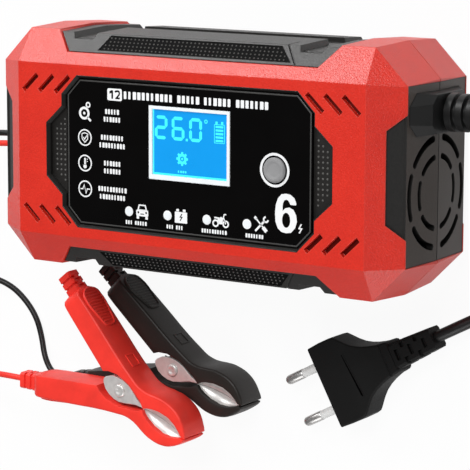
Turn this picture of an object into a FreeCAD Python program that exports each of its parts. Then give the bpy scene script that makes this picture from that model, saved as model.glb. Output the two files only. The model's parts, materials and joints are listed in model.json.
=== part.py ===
import FreeCAD, Part
import math
import os

import Sketcher
from FreeCAD import Placement, Rotation, Vector

# A car battery charger lying on its back, with a two-pin mains lead and a pair of
# spring clips on a black and a red wire. Millimetres. +X runs along the case to the
# fan end, +Y to the edge that is at the top of the panel, +Z out of the panel.
# The origin is the middle of the case's back face, on the surface that it rests on.

SIZES = [
    ("case_length", 190.0, "over both end faces, at the seam"),
    ("case_width", 98.0, "over the long sides, at the seam"),
    ("case_depth", 63.2, "back face to front face"),
    ("corner_cut", 13.8, "slanted corner, seen from the front"),
    ("chamfer_reach", 13.1, "chamfer round the front and the back, along the face"),
    ("chamfer_drop", 8.3, "the same chamfer, along Z"),
    ("draft", 1.05, "how far a side leans in from the seam to the chamfer"),
    ("wall", 2.6, "shell wall"),
    ("label_half", 29.7, "half height of the panel recess"),
    ("label_reach", 57.4, "half length of the glossy label"),
    ("ear_reach", 66.0, "half length of the panel recess at its ears"),
    ("trim_gap", 0.9, "how deep the black trims lie below the red surface"),
    ("trim_floor", 3.6, "depth of the recess under a trim"),
    ("trim_sunk", 2.1, "depth of the channel and the notches in a trim"),
    ("trim_start", 39.5, "lower edge of a trim on the chamfer, from the middle"),
    ("trim_half_low", 58.3, "half length of a trim at its lower edge"),
    ("trim_half_high", 65.8, "half length of a trim at the side"),
    ("cap_half", 34.2, "half width of an end cap"),
    ("fan_size", 50.0, "side of the fan frame"),
    ("fan_depth", 10.0, "thickness of the fan frame"),
    ("fan_y", -7.8, "height of the fan on the end face"),
    ("grille_outer", 21.0, "middle radius of the outer ring of slots"),
    ("grille_inner", 13.8, "middle radius of the inner ring of slots"),
    ("relief_y", 23.0, "height of the mains strain relief"),
    ("relief_dia", 14.8, "ribs of the mains strain relief"),
    ("button_x", 40.8, "mode button"),
    ("button_radius", 4.9, "mode button cap"),
    ("button_travel", 1.0, "mode button travel"),
    ("board_thick", 1.6, "circuit boards"),
    ("main_board_z", 9.0, "underside of the main board"),
    ("display_board_z", 50.0, "underside of the display board"),
    ("mains_dia", 4.8, "mains cable"),
    ("wire_dia", 2.6, "output wires"),
    ("clip_width", 15.5, "clip cover, along the rivet"),
    ("plug_width", 35.3, "engagement face of the two-pin plug"),
    ("plug_height", 13.7, "thickness of the plug at its face"),
    ("pin_spacing", 18.6, "plug pins"),
    ("pin_dia", 4.0, "plug pins"),
    ("pin_length", 19.0, "plug pins"),
]

os.makedirs("parts", exist_ok=True)
doc = FreeCAD.newDocument("battery_charger")
sheet = doc.addObject("Spreadsheet::Sheet", "Sizes")
for row, (alias, value, note) in enumerate(SIZES, start=1):
    sheet.set("A%d" % row, str(value))
    sheet.set("B%d" % row, note)
    sheet.setAlias("A%d" % row, alias)
doc.recompute()


def size(alias):
    return float(sheet.get(alias))


HALF_X = size("case_length") / 2
HALF_Y = size("case_width") / 2
DEPTH = size("case_depth")
SEAM = DEPTH / 2
WALL = size("wall")
FRONT_INSIDE = DEPTH - WALL

nodes = {}


# Helpers

def keep(name, item):
    item.Label = name
    nodes[name] = item
    return item


def feature(name, shape):
    item = doc.addObject("Part::Feature", name)
    item.Shape = shape
    return keep(name, item)


def bind(item, **expressions):
    for key, expression in expressions.items():
        item.setExpression(key.replace("__", "."), expression)


def solid_box(x0, x1, y0, y1, z0, z1):
    return Part.makeBox(x1 - x0, y1 - y0, z1 - z0, Vector(x0, y0, z0))


def rod(radius, start, direction, length):
    return Part.makeCylinder(radius, length, Vector(*start), Vector(*direction))


def prism(points, z0, z1):
    corners = [Vector(x, y, z0) for x, y in points]
    face = Part.Face(Part.makePolygon(corners + corners[:1]))
    return face.extrude(Vector(0, 0, z1 - z0))


def side_prism(points, x0, x1):
    corners = [Vector(x0, y, z) for y, z in points]
    face = Part.Face(Part.makePolygon(corners + corners[:1]))
    return face.extrude(Vector(x1 - x0, 0, 0))


def fuse(shapes):
    first = shapes[0]
    return first.multiFuse(shapes[1:]).removeSplitter() if len(shapes) > 1 else first


def group(shapes):
    return Part.makeCompound(shapes)


def flip_rear(shape):
    return shape.mirror(Vector(0, 0, SEAM), Vector(0, 0, 1))


def flip_y(shape):
    return shape.mirror(Vector(0, 0, 0), Vector(0, 1, 0))


def flip_x(shape):
    return shape.mirror(Vector(0, 0, 0), Vector(1, 0, 0))


def both_signs(x, y):
    return [(sx * x, sy * y) for sx in (-1, 1) for sy in (-1, 1)]


# The faceted case

def case_half(inset):
    """Front half of the case, every face moved inwards by inset."""
    slope = math.hypot(size("chamfer_reach"), size("chamfer_drop"))
    lean_side = size("chamfer_drop") / slope
    lean_front = size("chamfer_reach") / slope
    shoulder = DEPTH - size("chamfer_drop") - inset * (1 - lean_side) / lean_front
    reach = size("chamfer_reach") + inset * (1 - lean_front) / lean_side
    cut = size("corner_cut") - inset * (2 - math.sqrt(2))
    draft = size("draft")

    def ring(half_x, half_y, z):
        quarter = [(half_x - cut, half_y), (half_x, half_y - cut)]
        points = quarter + [(x, -y) for x, y in reversed(quarter)]
        points += [(-x, y) for x, y in reversed(points)]
        return [Vector(x, y, z) for x, y in points]

    low = ring(HALF_X - inset, HALF_Y - inset, SEAM)
    high = ring(HALF_X - inset - draft, HALF_Y - inset - draft, shoulder)
    front_x = HALF_X - inset - draft - reach + inset
    front_y = HALF_Y - inset - draft - reach + inset
    corners = [Vector(x, y, DEPTH - inset) for x, y in
               ((front_x, front_y), (front_x, -front_y), (-front_x, -front_y), (-front_x, front_y))]
    faces = [low, corners]
    for i in range(8):
        faces.append([low[i], low[(i + 1) % 8], high[(i + 1) % 8], high[i]])
    for i in range(4):
        faces.append([high[2 * i], high[2 * i + 1], corners[i]])
        faces.append([high[2 * i + 1], high[(2 * i + 2) % 8], corners[(i + 1) % 4], corners[i]])
    shell = Part.Shell([Part.Face(Part.makePolygon(face + face[:1])) for face in faces])
    solid = Part.Solid(shell)
    return solid if solid.Volume > 0 else solid.reversed()


def skin(outside, inside):
    return case_half(outside).cut(case_half(inside))


def whole_case(inset):
    half = case_half(inset)
    return half.fuse(flip_rear(half))


def seam_groove(inset):
    """What a half loses along the seam, so that a fine line shows between the halves."""
    slab = solid_box(-HALF_X - 1, HALF_X + 1, -HALF_Y - 1, HALF_Y + 1, SEAM - 1, SEAM + 0.22)
    return skin(0.0, inset + 0.45).common(slab)


def panel_outline(grow):
    reach, step = size("ear_reach") + grow, size("label_reach") + 0.8 + grow
    half = size("label_half") + grow
    quarter = [(51.2 + grow * 0.4, half), (step, 22.5 + grow * 0.4),
               (step, 17.6 + grow * 0.4), (reach, 10.4 + grow * 0.4)]
    points = quarter + [(x, -y) for x, y in reversed(quarter)]
    return points + [(-x, y) for x, y in reversed(points)]


SLIT_LOW, SLIT_HIGH = (62.4, 23.3), (55.4, 29.9)
SLIT_PITCH, SLIT_WIDTH, SLIT_COUNT = 7.95, 2.1, 3
SLIT_DEPTH = 1.9


def corner_slits():
    """Three slanted blind slots in each corner of the front face."""
    slots = []
    run = Vector(SLIT_HIGH[0] - SLIT_LOW[0], SLIT_HIGH[1] - SLIT_LOW[1], 0)
    side = Vector(-run.y, run.x, 0).normalize() * (SLIT_WIDTH / 2)
    for count in range(SLIT_COUNT):
        start = Vector(SLIT_LOW[0] + count * SLIT_PITCH, SLIT_LOW[1], 0)
        ends = [start + side, start + run + side, start + run - side, start - side]
        slot = prism([(p.x, p.y) for p in ends], DEPTH - SLIT_DEPTH, DEPTH + 1)
        slots += [slot, flip_x(slot), flip_y(slot), flip_x(flip_y(slot))]
    return slots


def trim_prism(grow):
    low, high = size("trim_half_low") + grow, size("trim_half_high") + grow
    start, shoulder = size("trim_start") - grow, 47.8
    edge = [(-low, start), (low, start), (high, shoulder), (high, HALF_Y + 3),
            (-high, HALF_Y + 3), (-high, shoulder)]
    return prism(edge, SEAM, DEPTH)


BAND = [(-44.4, 40.6), (45.4, 40.6), (39.6, 46.3), (-40.4, 46.3)]
NOTCH = [(46.0, 52.0), (48.2, 44.6), (57.7, 44.6), (61.5, 52.0)]
GROOVE = [(41.4, 47.4), (47.2, 40.0), (48.0, 40.0), (42.2, 47.4)]


CHANNEL_REACH = 57.7
CHANNEL_FRONT, CHANNEL_REAR = 2.5, 10.0


def front_trim(channel):
    """Black trim in the top chamfer: a sunk dotted band, and a channel along the seam that
    comes forward to the chamfer in a notch at each end."""
    gap, sunk = size("trim_gap"), size("trim_sunk")
    trim = skin(gap, size("trim_floor")).common(trim_prism(-0.15)).cut(seam_groove(gap))
    band = skin(gap - 0.5, gap + 0.4).common(prism(BAND, SEAM + 14, DEPTH))
    groove = skin(gap - 0.5, gap + 0.5).common(prism(GROOVE, SEAM + 14, DEPTH))
    deep = skin(gap - 0.5, gap + sunk)
    notch = deep.common(prism(NOTCH, SEAM - 1, DEPTH))
    along = deep.common(solid_box(-CHANNEL_REACH, CHANNEL_REACH, HALF_Y - 6, HALF_Y + 1,
                                  SEAM - 1, SEAM + channel))
    return trim.cut(band).cut(groove).cut(notch).cut(flip_x(notch)).cut(along)


EAR = [(23.8, 54.6), (17.7, 59.0)]
CAP_FLANGE = 0.8
CAP_DEPTH = WALL + CAP_FLANGE
CAP_SUNK = 0.5


def cap_outline(grow):
    half = size("cap_half") + grow
    top = DEPTH - size("chamfer_drop") - 0.3
    right = [(half, SEAM), (half, top), (EAR[0][0] + grow, top), (EAR[1][0] + grow, EAR[1][1] + grow)]
    return right + [(-y, z) for y, z in reversed(right)]


def cap_zone(grow):
    return side_prism(cap_outline(grow), 80, HALF_X + 2)


def blank_cap():
    """Front half of the right end cap, with its ear in the slanted end and its flange behind the wall."""
    flat = skin(CAP_GAP, CAP_DEPTH).common(cap_zone(-0.1)).cut(seam_groove(CAP_GAP))
    ear_front = side_prism([(-40, DEPTH - size("chamfer_drop")), (40, DEPTH - size("chamfer_drop")),
                            (40, DEPTH), (-40, DEPTH)], 80, HALF_X + 2)
    plate = flat.cut(skin(0.0, CAP_SUNK + 0.3).common(ear_front))
    flange = skin(WALL, CAP_DEPTH).common(cap_zone(CAP_FLANGE))
    return fuse([plate, flange])


def arc_slot(middle, width, centre_deg, span_deg):
    """One curved slot of the fan grille, cut along X."""
    inner, outer = middle - width / 2, middle + width / 2
    centre = Vector(80, size("fan_y"), SEAM)

    def at(radius, degrees):
        angle = math.radians(degrees)
        return centre + Vector(0, radius * math.sin(angle), radius * math.cos(angle))

    a, b = centre_deg - span_deg / 2, centre_deg + span_deg / 2
    edges = [Part.Arc(at(outer, a), at(outer, centre_deg), at(outer, b)).toShape(),
             Part.Arc(at(outer, b), at(middle, b + 3.5), at(inner, b)).toShape(),
             Part.Arc(at(inner, b), at(inner, centre_deg), at(inner, a)).toShape(),
             Part.Arc(at(inner, a), at(middle, a - 3.5), at(outer, a)).toShape()]
    return Part.Face(Part.Wire(edges)).extrude(Vector(20, 0, 0))


def grille_slots():
    slots = []
    for turn in (0, 57, -57):
        slots.append(arc_slot(size("grille_outer"), 2.7, turn, 44))
        slots.append(arc_slot(size("grille_inner"), 2.3, turn, 42))
    return slots


RELIEF_HALF_Z = 13.5
RELIEF_FOOT_HALF_Z = 22.4
RELIEF_TOP = 99.3
CAP_GAP = 0.25
OUT_GLAND_Y = -2.2
OUT_GLAND = (9.2, 7.0)
POSTS = both_signs(70.0, 36.0)
BOARD_POSTS = both_signs(56.0, 33.0)


def relief_block(x0, x1, grow=0.0):
    half = size("relief_dia") / 2 + grow
    block = solid_box(x0, x1, size("relief_y") - half, size("relief_y") + half,
                      SEAM - RELIEF_HALF_Z - grow, SEAM + RELIEF_HALF_Z + grow)
    return block


def output_block(x0, x1, grow=0.0):
    high, wide = OUT_GLAND[0] / 2 + grow, OUT_GLAND[1] / 2 + grow
    return solid_box(x0, x1, OUT_GLAND_Y - high, OUT_GLAND_Y + high, SEAM - wide, SEAM + wide)


def make_case():
    hollow = case_half(WALL)
    caps = skin(0.0, CAP_DEPTH).common(cap_zone(0.0))
    recess = skin(0.0, size("trim_floor")).common(trim_prism(0.0))
    backing = skin(WALL - 0.3, size("trim_floor") + 1.2).common(trim_prism(1.2))
    half = case_half(0.0).cut(hollow).fuse(backing).fuse(flip_y(backing))
    half = half.cut(caps).cut(flip_x(caps)).cut(recess).cut(flip_y(recess)).cut(seam_groove(0.0))
    passes = [relief_block(80, 100), output_block(-100, -80)]
    posts = [rod(3.6, (x, y, SEAM), (0, 0, 1), SEAM - WALL) for x, y in POSTS]
    front = fuse([half] + [post.common(case_half(WALL - 0.4)) for post in posts])
    bores = [rod(1.3, (x, y, SEAM - 1), (0, 0, 1), 18) for x, y in POSTS]
    opening = prism(panel_outline(0.0), FRONT_INSIDE - 4, DEPTH + 1)
    bevel_low = Part.makePolygon([Vector(x, y, DEPTH - 1.4) for x, y in closed(panel_outline(0.0))])
    bevel_high = Part.makePolygon([Vector(x, y, DEPTH + 0.2) for x, y in closed(panel_outline(0.9))])
    bevel = Part.makeLoft([bevel_low, bevel_high], True, True)
    for cutter in [opening, bevel] + corner_slits() + passes + bores:
        front = front.cut(cutter)
    feature("front_shell", front)

    rear = fuse([half] + [post.common(case_half(WALL - 0.4)) for post in posts])
    rear = flip_rear(rear)
    board_posts = [rod(3.2, (x, y, WALL - 0.4), (0, 0, 1), size("main_board_z") - WALL + 0.4)
                   for x, y in BOARD_POSTS]
    rear = fuse([rear] + board_posts)
    cutters = [rod(1.7, (x, y, -1), (0, 0, 1), SEAM + 2) for x, y in POSTS]
    cutters += [rod(3.1, (x, y, -1), (0, 0, 1), 4.0) for x, y in POSTS]
    cutters += [rod(1.2, (x, y, WALL), (0, 0, 1), 12) for x, y in BOARD_POSTS]
    plate = solid_box(-40, 40, -22, 22, -1, 0.6)
    for cutter in cutters + passes + [plate]:
        rear = rear.cut(cutter)
    feature("rear_shell", rear)


def closed(points):
    return points + points[:1]


def make_trims_and_caps():
    trim, rear_trim = front_trim(CHANNEL_FRONT), flip_rear(front_trim(CHANNEL_REAR))
    feature("top_trim_front", trim)
    feature("top_trim_rear", rear_trim)
    feature("bottom_trim_front", flip_y(trim))
    feature("bottom_trim_rear", flip_y(rear_trim))
    right = blank_cap()
    for slot in grille_slots():
        right = right.cut(slot)
    fan_room = solid_box(70, 86, size("fan_y") - 26, size("fan_y") + 26, SEAM - 26, SEAM + 26)
    right = right.cut(relief_block(80, 100)).cut(fan_room)
    feature("right_cap_front", right)
    feature("right_cap_rear", flip_rear(right))
    left = flip_x(blank_cap()).cut(output_block(-100, -80))
    feature("left_cap_front", left)
    feature("left_cap_rear", flip_rear(left))


# The control panel

LED_SPOTS = [(-27.1, -22.1), (-8.6, -22.1), (9.9, -22.1), (28.4, -22.1)]
WINDOW = (-17.25, 20.55, -8.2, 20.8)
SCREEN = (-15.7, 19.2, -6.3, 19.5)
FRAME_LOW, FRAME_HIGH = 58.4, 60.6
LABEL_HIGH = 61.9


def rectangle(bounds, grow, z0, z1):
    x0, x1, y0, y1 = bounds
    return solid_box(x0 - grow, x1 + grow, y0 - grow, y1 + grow, z0, z1)


def make_panel():
    hole = rod(size("button_radius") + 0.25, (size("button_x"), -0.2, 50), (0, 0, 1), 20)
    lights = [rod(1.95, (x, y, 50), (0, 0, 1), 20) for x, y in LED_SPOTS]
    frame = prism(panel_outline(1.6), FRAME_LOW, FRAME_HIGH)
    stand = [rod(2.6, (x, y, size("display_board_z") + size("board_thick")), (0, 0, 1),
                 FRAME_LOW - size("display_board_z") - size("board_thick") + 0.2)
             for x, y in both_signs(48.0, 22.5)]
    frame = fuse([frame] + stand)
    for cutter in [hole, rectangle(WINDOW, -0.3, 50, 70)] + lights:
        frame = frame.cut(cutter)
    for x, y in both_signs(48.0, 22.5):
        frame = frame.cut(rod(0.9, (x, y, 45), (0, 0, 1), 13))
    feature("panel_frame", frame)

    label = prism(panel_outline(-0.35), FRAME_HIGH, LABEL_HIGH)
    reach = size("label_reach")
    label = label.common(solid_box(-reach, reach, -40, 40, 0, 80))
    for cutter in [hole, rectangle(WINDOW, 0.1, 50, 70)] + lights:
        label = label.cut(cutter)
    feature("panel_label", label)

    bezel = rectangle(WINDOW, 0.0, FRAME_HIGH, LABEL_HIGH + 0.3)
    feature("lcd_bezel", bezel.cut(rectangle(SCREEN, 0.0, 50, 70)))
    board_top = size("display_board_z") + size("board_thick")
    glass = rectangle(SCREEN, 0.6, board_top, FRAME_HIGH)
    glass = glass.fuse(rectangle(SCREEN, -0.05, FRAME_HIGH - 0.5, LABEL_HIGH - 0.4)).removeSplitter()
    feature("lcd_module", glass)

    leds = []
    for x, y in LED_SPOTS:
        body = rod(1.75, (x, y, board_top), (0, 0, 1), LABEL_HIGH - board_top - 0.7)
        dome = Part.makeSphere(1.75, Vector(x, y, LABEL_HIGH - 0.7))
        dome = dome.common(rod(1.75, (x, y, LABEL_HIGH - 1), (0, 0, 1), 1.1))
        leds.append(body.fuse(dome).removeSplitter())
    feature("status_leds", group(leds))


def sketch_on(body, name, plane):
    sketch = body.newObject("Sketcher::SketchObject", name)
    for item in body.Origin.OriginFeatures:
        if item.Role == plane:
            sketch.AttachmentSupport = [(item, "")]
    sketch.MapMode = "FlatFace"
    return sketch


def centred_rectangle(sketch, width, height):
    """A rectangle about the sketch origin whose sides follow two expressions."""
    x, y = 10.0, 5.0
    corners = [Vector(-x, -y, 0), Vector(x, -y, 0), Vector(x, y, 0), Vector(-x, y, 0)]
    for i in range(4):
        sketch.addGeometry(Part.LineSegment(corners[i], corners[(i + 1) % 4]), False)
    for i in range(4):
        sketch.addConstraint(Sketcher.Constraint("Coincident", i, 2, (i + 1) % 4, 1))
    sketch.addConstraint(Sketcher.Constraint("Horizontal", 0))
    sketch.addConstraint(Sketcher.Constraint("Horizontal", 2))
    sketch.addConstraint(Sketcher.Constraint("Vertical", 1))
    sketch.addConstraint(Sketcher.Constraint("Vertical", 3))
    sketch.addConstraint(Sketcher.Constraint("Symmetric", 0, 1, 1, 2, -1, 1))
    wide = sketch.addConstraint(Sketcher.Constraint("DistanceX", 0, 1, 0, 2, 2 * x))
    tall = sketch.addConstraint(Sketcher.Constraint("DistanceY", 1, 1, 1, 2, 2 * y))
    sketch.setExpression("Constraints[%d]" % wide, width)
    sketch.setExpression("Constraints[%d]" % tall, height)


def board(name, length, width, height, holes, at):
    """A circuit board: a padded rectangle with drilled holes."""
    body = doc.addObject("PartDesign::Body", name)
    outline = sketch_on(body, name + "_outline", "XY_Plane")
    centred_rectangle(outline, length, width)
    pad = body.newObject("PartDesign::Pad", name + "_pad")
    pad.Profile = outline
    pad.setExpression("Length", "Sizes.board_thick")
    outline.Visibility = False
    doc.recompute()
    drill = sketch_on(body, name + "_drill", "XY_Plane")
    for x, y, radius in holes:
        drill.addGeometry(Part.Circle(Vector(x, y, 0), Vector(0, 0, 1), radius), False)
    pocket = body.newObject("PartDesign::Pocket", name + "_holes")
    pocket.Profile = drill
    pocket.Type = 1
    pocket.Reversed = True
    body.Placement = Placement(Vector(*at), Rotation())
    body.setExpression("Placement.Base.z", height)
    doc.recompute()
    return keep(name, body)


def make_boards():
    board("main_board", "Sizes.case_length - 60", "Sizes.case_width - 20", "Sizes.main_board_z",
          [(x, y, 1.6) for x, y in BOARD_POSTS], (0, 0, 0))
    board("display_board", "2 * Sizes.label_reach - 10", "2 * Sizes.label_half - 7",
          "Sizes.display_board_z", [(x, y, 1.3) for x, y in both_signs(48.0, 22.5)], (0, 0, 0))

    top = size("main_board_z") + size("board_thick")
    screws = []
    for x, y in BOARD_POSTS:
        shaft = rod(1.15, (x, y, top - 8), (0, 0, 1), 8.2)
        screws.append(shaft.fuse(rod(2.8, (x, y, top), (0, 0, 1), 1.8)).removeSplitter())
    under = size("display_board_z")
    for x, y in both_signs(48.0, 22.5):
        shaft = rod(0.85, (x, y, under - 0.1), (0, 0, 1), 7.5)
        screws.append(shaft.fuse(rod(2.2, (x, y, under - 1.4), (0, 0, 1), 1.4)).removeSplitter())
    feature("board_screws", group(screws))

    screws = []
    for x, y in POSTS:
        shaft = rod(1.25, (x, y, 2.9), (0, 0, 1), SEAM + 10)
        head = rod(2.9, (x, y, 1.0), (0, 0, 1), 2.0)
        cross = solid_box(x - 1.8, x + 1.8, y - 0.35, y + 0.35, 0.5, 1.9)
        cross = cross.fuse(solid_box(x - 0.35, x + 0.35, y - 1.8, y + 1.8, 0.5, 1.9))
        screws.append(shaft.fuse(head).removeSplitter().cut(cross))
    feature("case_screws", group(screws))


def make_button():
    body = doc.addObject("PartDesign::Body", "mode_button")
    profile = sketch_on(body, "mode_button_profile", "XZ_Plane")
    radius, flange = size("button_radius"), size("button_radius") + 1.3
    foot, top = 56.5, LABEL_HIGH + 1.0
    points = [(0, foot), (flange, foot), (flange, foot + 1.2), (radius, foot + 1.2),
              (radius, top - 0.6), (radius - 0.6, top), (radius - 1.4, top), (radius - 2.4, top - 0.35),
              (0, top - 0.5)]
    for start, end in zip(points, points[1:] + points[:1]):
        profile.addGeometry(Part.LineSegment(Vector(*start, 0), Vector(*end, 0)), False)
    for i in range(len(points)):
        profile.addConstraint(Sketcher.Constraint("Coincident", i, 2, (i + 1) % len(points), 1))
    turn = body.newObject("PartDesign::Revolution", "mode_button_turn")
    turn.Profile = profile
    turn.ReferenceAxis = (profile, ["V_Axis"])
    turn.Angle = 360
    body.setExpression("Placement.Base.x", "Sizes.button_x")
    body.Placement.Base.y = -0.2
    doc.recompute()
    keep("mode_button", body)

    base = doc.addObject("Part::Box", "button_switch_base")
    bind(base, Length="6", Width="6", Height="3.2",
         Placement__Base__x="Sizes.button_x - 3", Placement__Base__y="-3.2",
         Placement__Base__z="Sizes.display_board_z + Sizes.board_thick")
    plunger = doc.addObject("Part::Cylinder", "button_switch_plunger")
    bind(plunger, Radius="1.7", Height="0.5", Placement__Base__x="Sizes.button_x",
         Placement__Base__y="-0.2",
         Placement__Base__z="Sizes.display_board_z + Sizes.board_thick + 3.2")
    switch = doc.addObject("Part::Fuse", "button_switch")
    switch.Base, switch.Tool = base, plunger
    keep("button_switch", switch)


# What works inside

def make_electronics():
    top = size("main_board_z") + size("board_thick")
    core = solid_box(-4, 22, -2, 26, top + 3, top + 21)
    winding_hole = solid_box(-2, 20, 4, 20, top + 6, top + 18)
    feature("transformer_core", core.cut(winding_hole))
    winding = rod(7.6, (9, 4.2, top + 12), (0, 1, 0), 15.6)
    feature("transformer_winding", winding.common(solid_box(-1.8, 19.8, 0, 30, top + 6.1, top + 17.9)))
    feature("mains_capacitor", rod(9.0, (40, -16, top), (0, 0, 1), 27))
    caps = [rod(5.0, (-46, y, top), (0, 0, 1), 18) for y in (-8, 5, 18)]
    feature("output_capacitors", group(caps))

    body = doc.addObject("PartDesign::Body", "heat_sink")
    base_sketch = sketch_on(body, "heat_sink_base", "XY_Plane")
    centred_rectangle(base_sketch, "56", "3")
    base = body.newObject("PartDesign::Pad", "heat_sink_plate")
    base.Profile = base_sketch
    base.Length = 28
    doc.recompute()
    fin_sketch = sketch_on(body, "heat_sink_fin", "XY_Plane")
    x0 = -26.0
    corners = [Vector(x0, 1, 0), Vector(x0 + 1.4, 1, 0), Vector(x0 + 1.4, 11, 0), Vector(x0, 11, 0)]
    for i in range(4):
        fin_sketch.addGeometry(Part.LineSegment(corners[i], corners[(i + 1) % 4]), False)
    fin = body.newObject("PartDesign::Pad", "heat_sink_fin_pad")
    fin.Profile = fin_sketch
    fin.Length = 28
    doc.recompute()
    pattern = body.newObject("PartDesign::LinearPattern", "heat_sink_fins")
    pattern.Originals = [fin]
    pattern.Direction = (base_sketch, ["H_Axis"])
    pattern.Length = 50.4
    pattern.Occurrences = 11
    body.Tip = pattern
    body.Placement = Placement(Vector(-14, -30, top), Rotation(Vector(0, 0, 1), 0))
    doc.recompute()
    keep("heat_sink", body)

    packs = [solid_box(x - 5, x + 5, -36.2, -31.7, top + 6, top + 21) for x in (-30, -14, 2)]
    feature("power_transistors", group(packs))
    ring = Part.makeTorus(7.0, 3.2, Vector(-24, 18, top + 3.2))
    feature("output_choke", ring)
    tube = rod(2.6, (42, 26, top + 3.4), (1, 0, 0), 20)
    ends = [rod(3.1, (x, 26, top + 3.4), (1, 0, 0), 5) for x in (41, 58)]
    feature("mains_fuse", fuse([tube] + ends))


def make_fan():
    half = size("fan_size") / 2
    y, depth = size("fan_y"), size("fan_depth")
    x0 = 75.5
    hub = (x0 + depth / 2, y, SEAM)
    ring = solid_box(x0, x0 + depth, y - half, y + half, SEAM - half, SEAM + half)
    ring = ring.cut(rod(half - 1.2, (x0 - 1, y, SEAM), (1, 0, 0), depth + 2))
    spokes = [rod(8.0, (x0, y, SEAM), (1, 0, 0), 1.6)]
    for turn in range(4):
        arm = solid_box(x0, x0 + 1.6, y - 1.4, y + 1.4, SEAM, SEAM + half - 0.6)
        arm.rotate(Vector(*hub), Vector(1, 0, 0), 90 * turn)
        spokes.append(arm)
    bore = rod(1.06, (x0 - 1, y, SEAM), (1, 0, 0), 5)
    frame = fuse([ring] + spokes).cut(bore)
    for sy, sz in both_signs(half - 3.5, half - 3.5):
        frame = frame.cut(rod(1.7, (x0 - 1, y + sy, SEAM + sz), (1, 0, 0), depth + 2))
    feature("fan_frame", frame)

    cup = rod(11.0, (x0 + 2.4, y, SEAM), (1, 0, 0), 7.0).cut(rod(9.6, (x0 + 1, y, SEAM), (1, 0, 0), 7.0))
    blades = []
    for turn in range(7):
        blade = solid_box(-0.5, 0.5, 10.6, half - 2.4, -3.6, 3.6)
        blade.rotate(Vector(0, 0, 0), Vector(0, 1, 0), 42)
        blade = blade.common(solid_box(-3.3, 3.3, 0, half, -9, 9))
        blade.translate(Vector(x0 + 6.0, y, SEAM))
        blade.rotate(Vector(x0, y, SEAM), Vector(1, 0, 0), turn * 360 / 7)
        blades.append(blade)
    feature("fan_rotor", fuse([cup] + blades).cut(rod(1.0, (x0, y, SEAM), (1, 0, 0), 12)))
    feature("fan_shaft", rod(1.0, (x0 + 0.2, y, SEAM), (1, 0, 0), 9.2))
    stator = rod(8.8, (x0 + 1.6, y, SEAM), (1, 0, 0), 5.6).cut(rod(1.2, (x0, y, SEAM), (1, 0, 0), 12))
    feature("fan_motor", stator)


# Strain reliefs

def make_reliefs():
    y, radius = size("relief_y"), size("relief_dia") / 2
    inside = relief_block(86.0, 90.8, 2.0).common(whole_case(3.4))
    neck = relief_block(90.7, 96.0)
    ends = []
    for x, high, wide, bevel in ((93.4, 8.3, RELIEF_FOOT_HALF_Z, 5.0), (RELIEF_TOP, 7.4, RELIEF_HALF_Z, 3.4)):
        quarter = [(high - bevel, wide), (high, wide - bevel)]
        ring = quarter + [(a, -b) for a, b in reversed(quarter)]
        ring += [(-a, b) for a, b in reversed(ring)]
        ends.append(Part.makePolygon(closed([Vector(x, y + a, SEAM + b) for a, b in ring])))
    foot = Part.makeLoft(ends, True, True).cut(whole_case(CAP_GAP - 0.05))
    sleeve = Part.makeCone(radius - 1.9, radius - 2.6, 122.0 - RELIEF_TOP, Vector(RELIEF_TOP, y, SEAM),
                           Vector(1, 0, 0))
    parts = [inside, neck, foot, sleeve]
    for count in range(5):
        start = RELIEF_TOP + 1.0 + count * 4.4
        ring = radius - 0.2 * count
        parts.append(Part.makeCylinder(ring, 2.7, Vector(start, y, SEAM), Vector(1, 0, 0)))
    relief = fuse(parts)
    feature("mains_relief", relief)

    out = [output_block(-97.0, -91.0), output_block(-91.2, -87.0, 1.8)]
    ends = []
    for x, high, wide in ((-97.0, 4.6, 3.5), (-108.0, 4.3, 2.2)):
        corners = [(-high, -wide), (high, -wide), (high, wide), (-high, wide)]
        corners = [Vector(x, OUT_GLAND_Y + sy, SEAM + sz) for sy, sz in corners]
        ends.append(Part.makePolygon(closed(corners)))
    out.append(Part.makeLoft(ends, True, True))
    feature("output_relief", fuse(out))


# Flexible leads: a route of straight runs joined by tangent arcs

def route_path(points):
    """Straight runs joined by arcs as large as each pair of runs allows."""
    points = [Vector(*p) for p in points]
    edges, radii = [], []
    here = points[0]
    for i in range(1, len(points) - 1):
        before, after = points[i - 1] - points[i], points[i + 1] - points[i]
        runs = min(before.Length, after.Length)
        turn = math.pi - before.getAngle(after)
        back = 0.45 * runs
        radii.append(back / math.tan(turn / 2))
        start = points[i] + before.normalize() * back
        end = points[i] + after.normalize() * back
        inward = (before + after).normalize()
        half = math.cos(turn / 2)
        middle = points[i] + inward * (radii[-1] / half - radii[-1])
        edges.append(Part.LineSegment(here, start).toShape())
        edges.append(Part.Arc(start, middle, end).toShape())
        here = end
    edges.append(Part.LineSegment(here, points[-1]).toShape())
    return Part.Wire(edges), radii


def sweep(wire, diameter):
    start = wire.OrderedEdges[0]
    first = start.valueAt(start.FirstParameter)
    along = start.tangentAt(start.FirstParameter)
    ring = Part.Wire(Part.Circle(first, along, diameter / 2).toShape())
    tube = wire.makePipeShell([ring], True, False)
    return tube if tube.Volume > 0 else tube.reversed()


def lead(name, points, diameter):
    wire, radii = route_path(points)
    tube = sweep(wire, diameter)
    plain = math.pi * diameter ** 2 / 4 * wire.Length
    print("%s length %.1f volume ratio %.4f radii %s"
          % (name, wire.Length, tube.Volume / plain, " ".join("%.1f" % r for r in radii)))
    feature(name, tube)
    return wire.Length


def arc_by_tangent(start, tangent, end):
    chord = end - start
    unit = Vector(chord).normalize()
    side = tangent - unit * tangent.dot(unit)
    if side.Length < 1e-6:
        return Part.LineSegment(start, end).toShape()
    angle = tangent.getAngle(chord)
    middle = start + chord / 2 + side.normalize() * (chord.Length / 2 * math.tan(angle / 2))
    return Part.Arc(start, middle, end).toShape()


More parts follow.
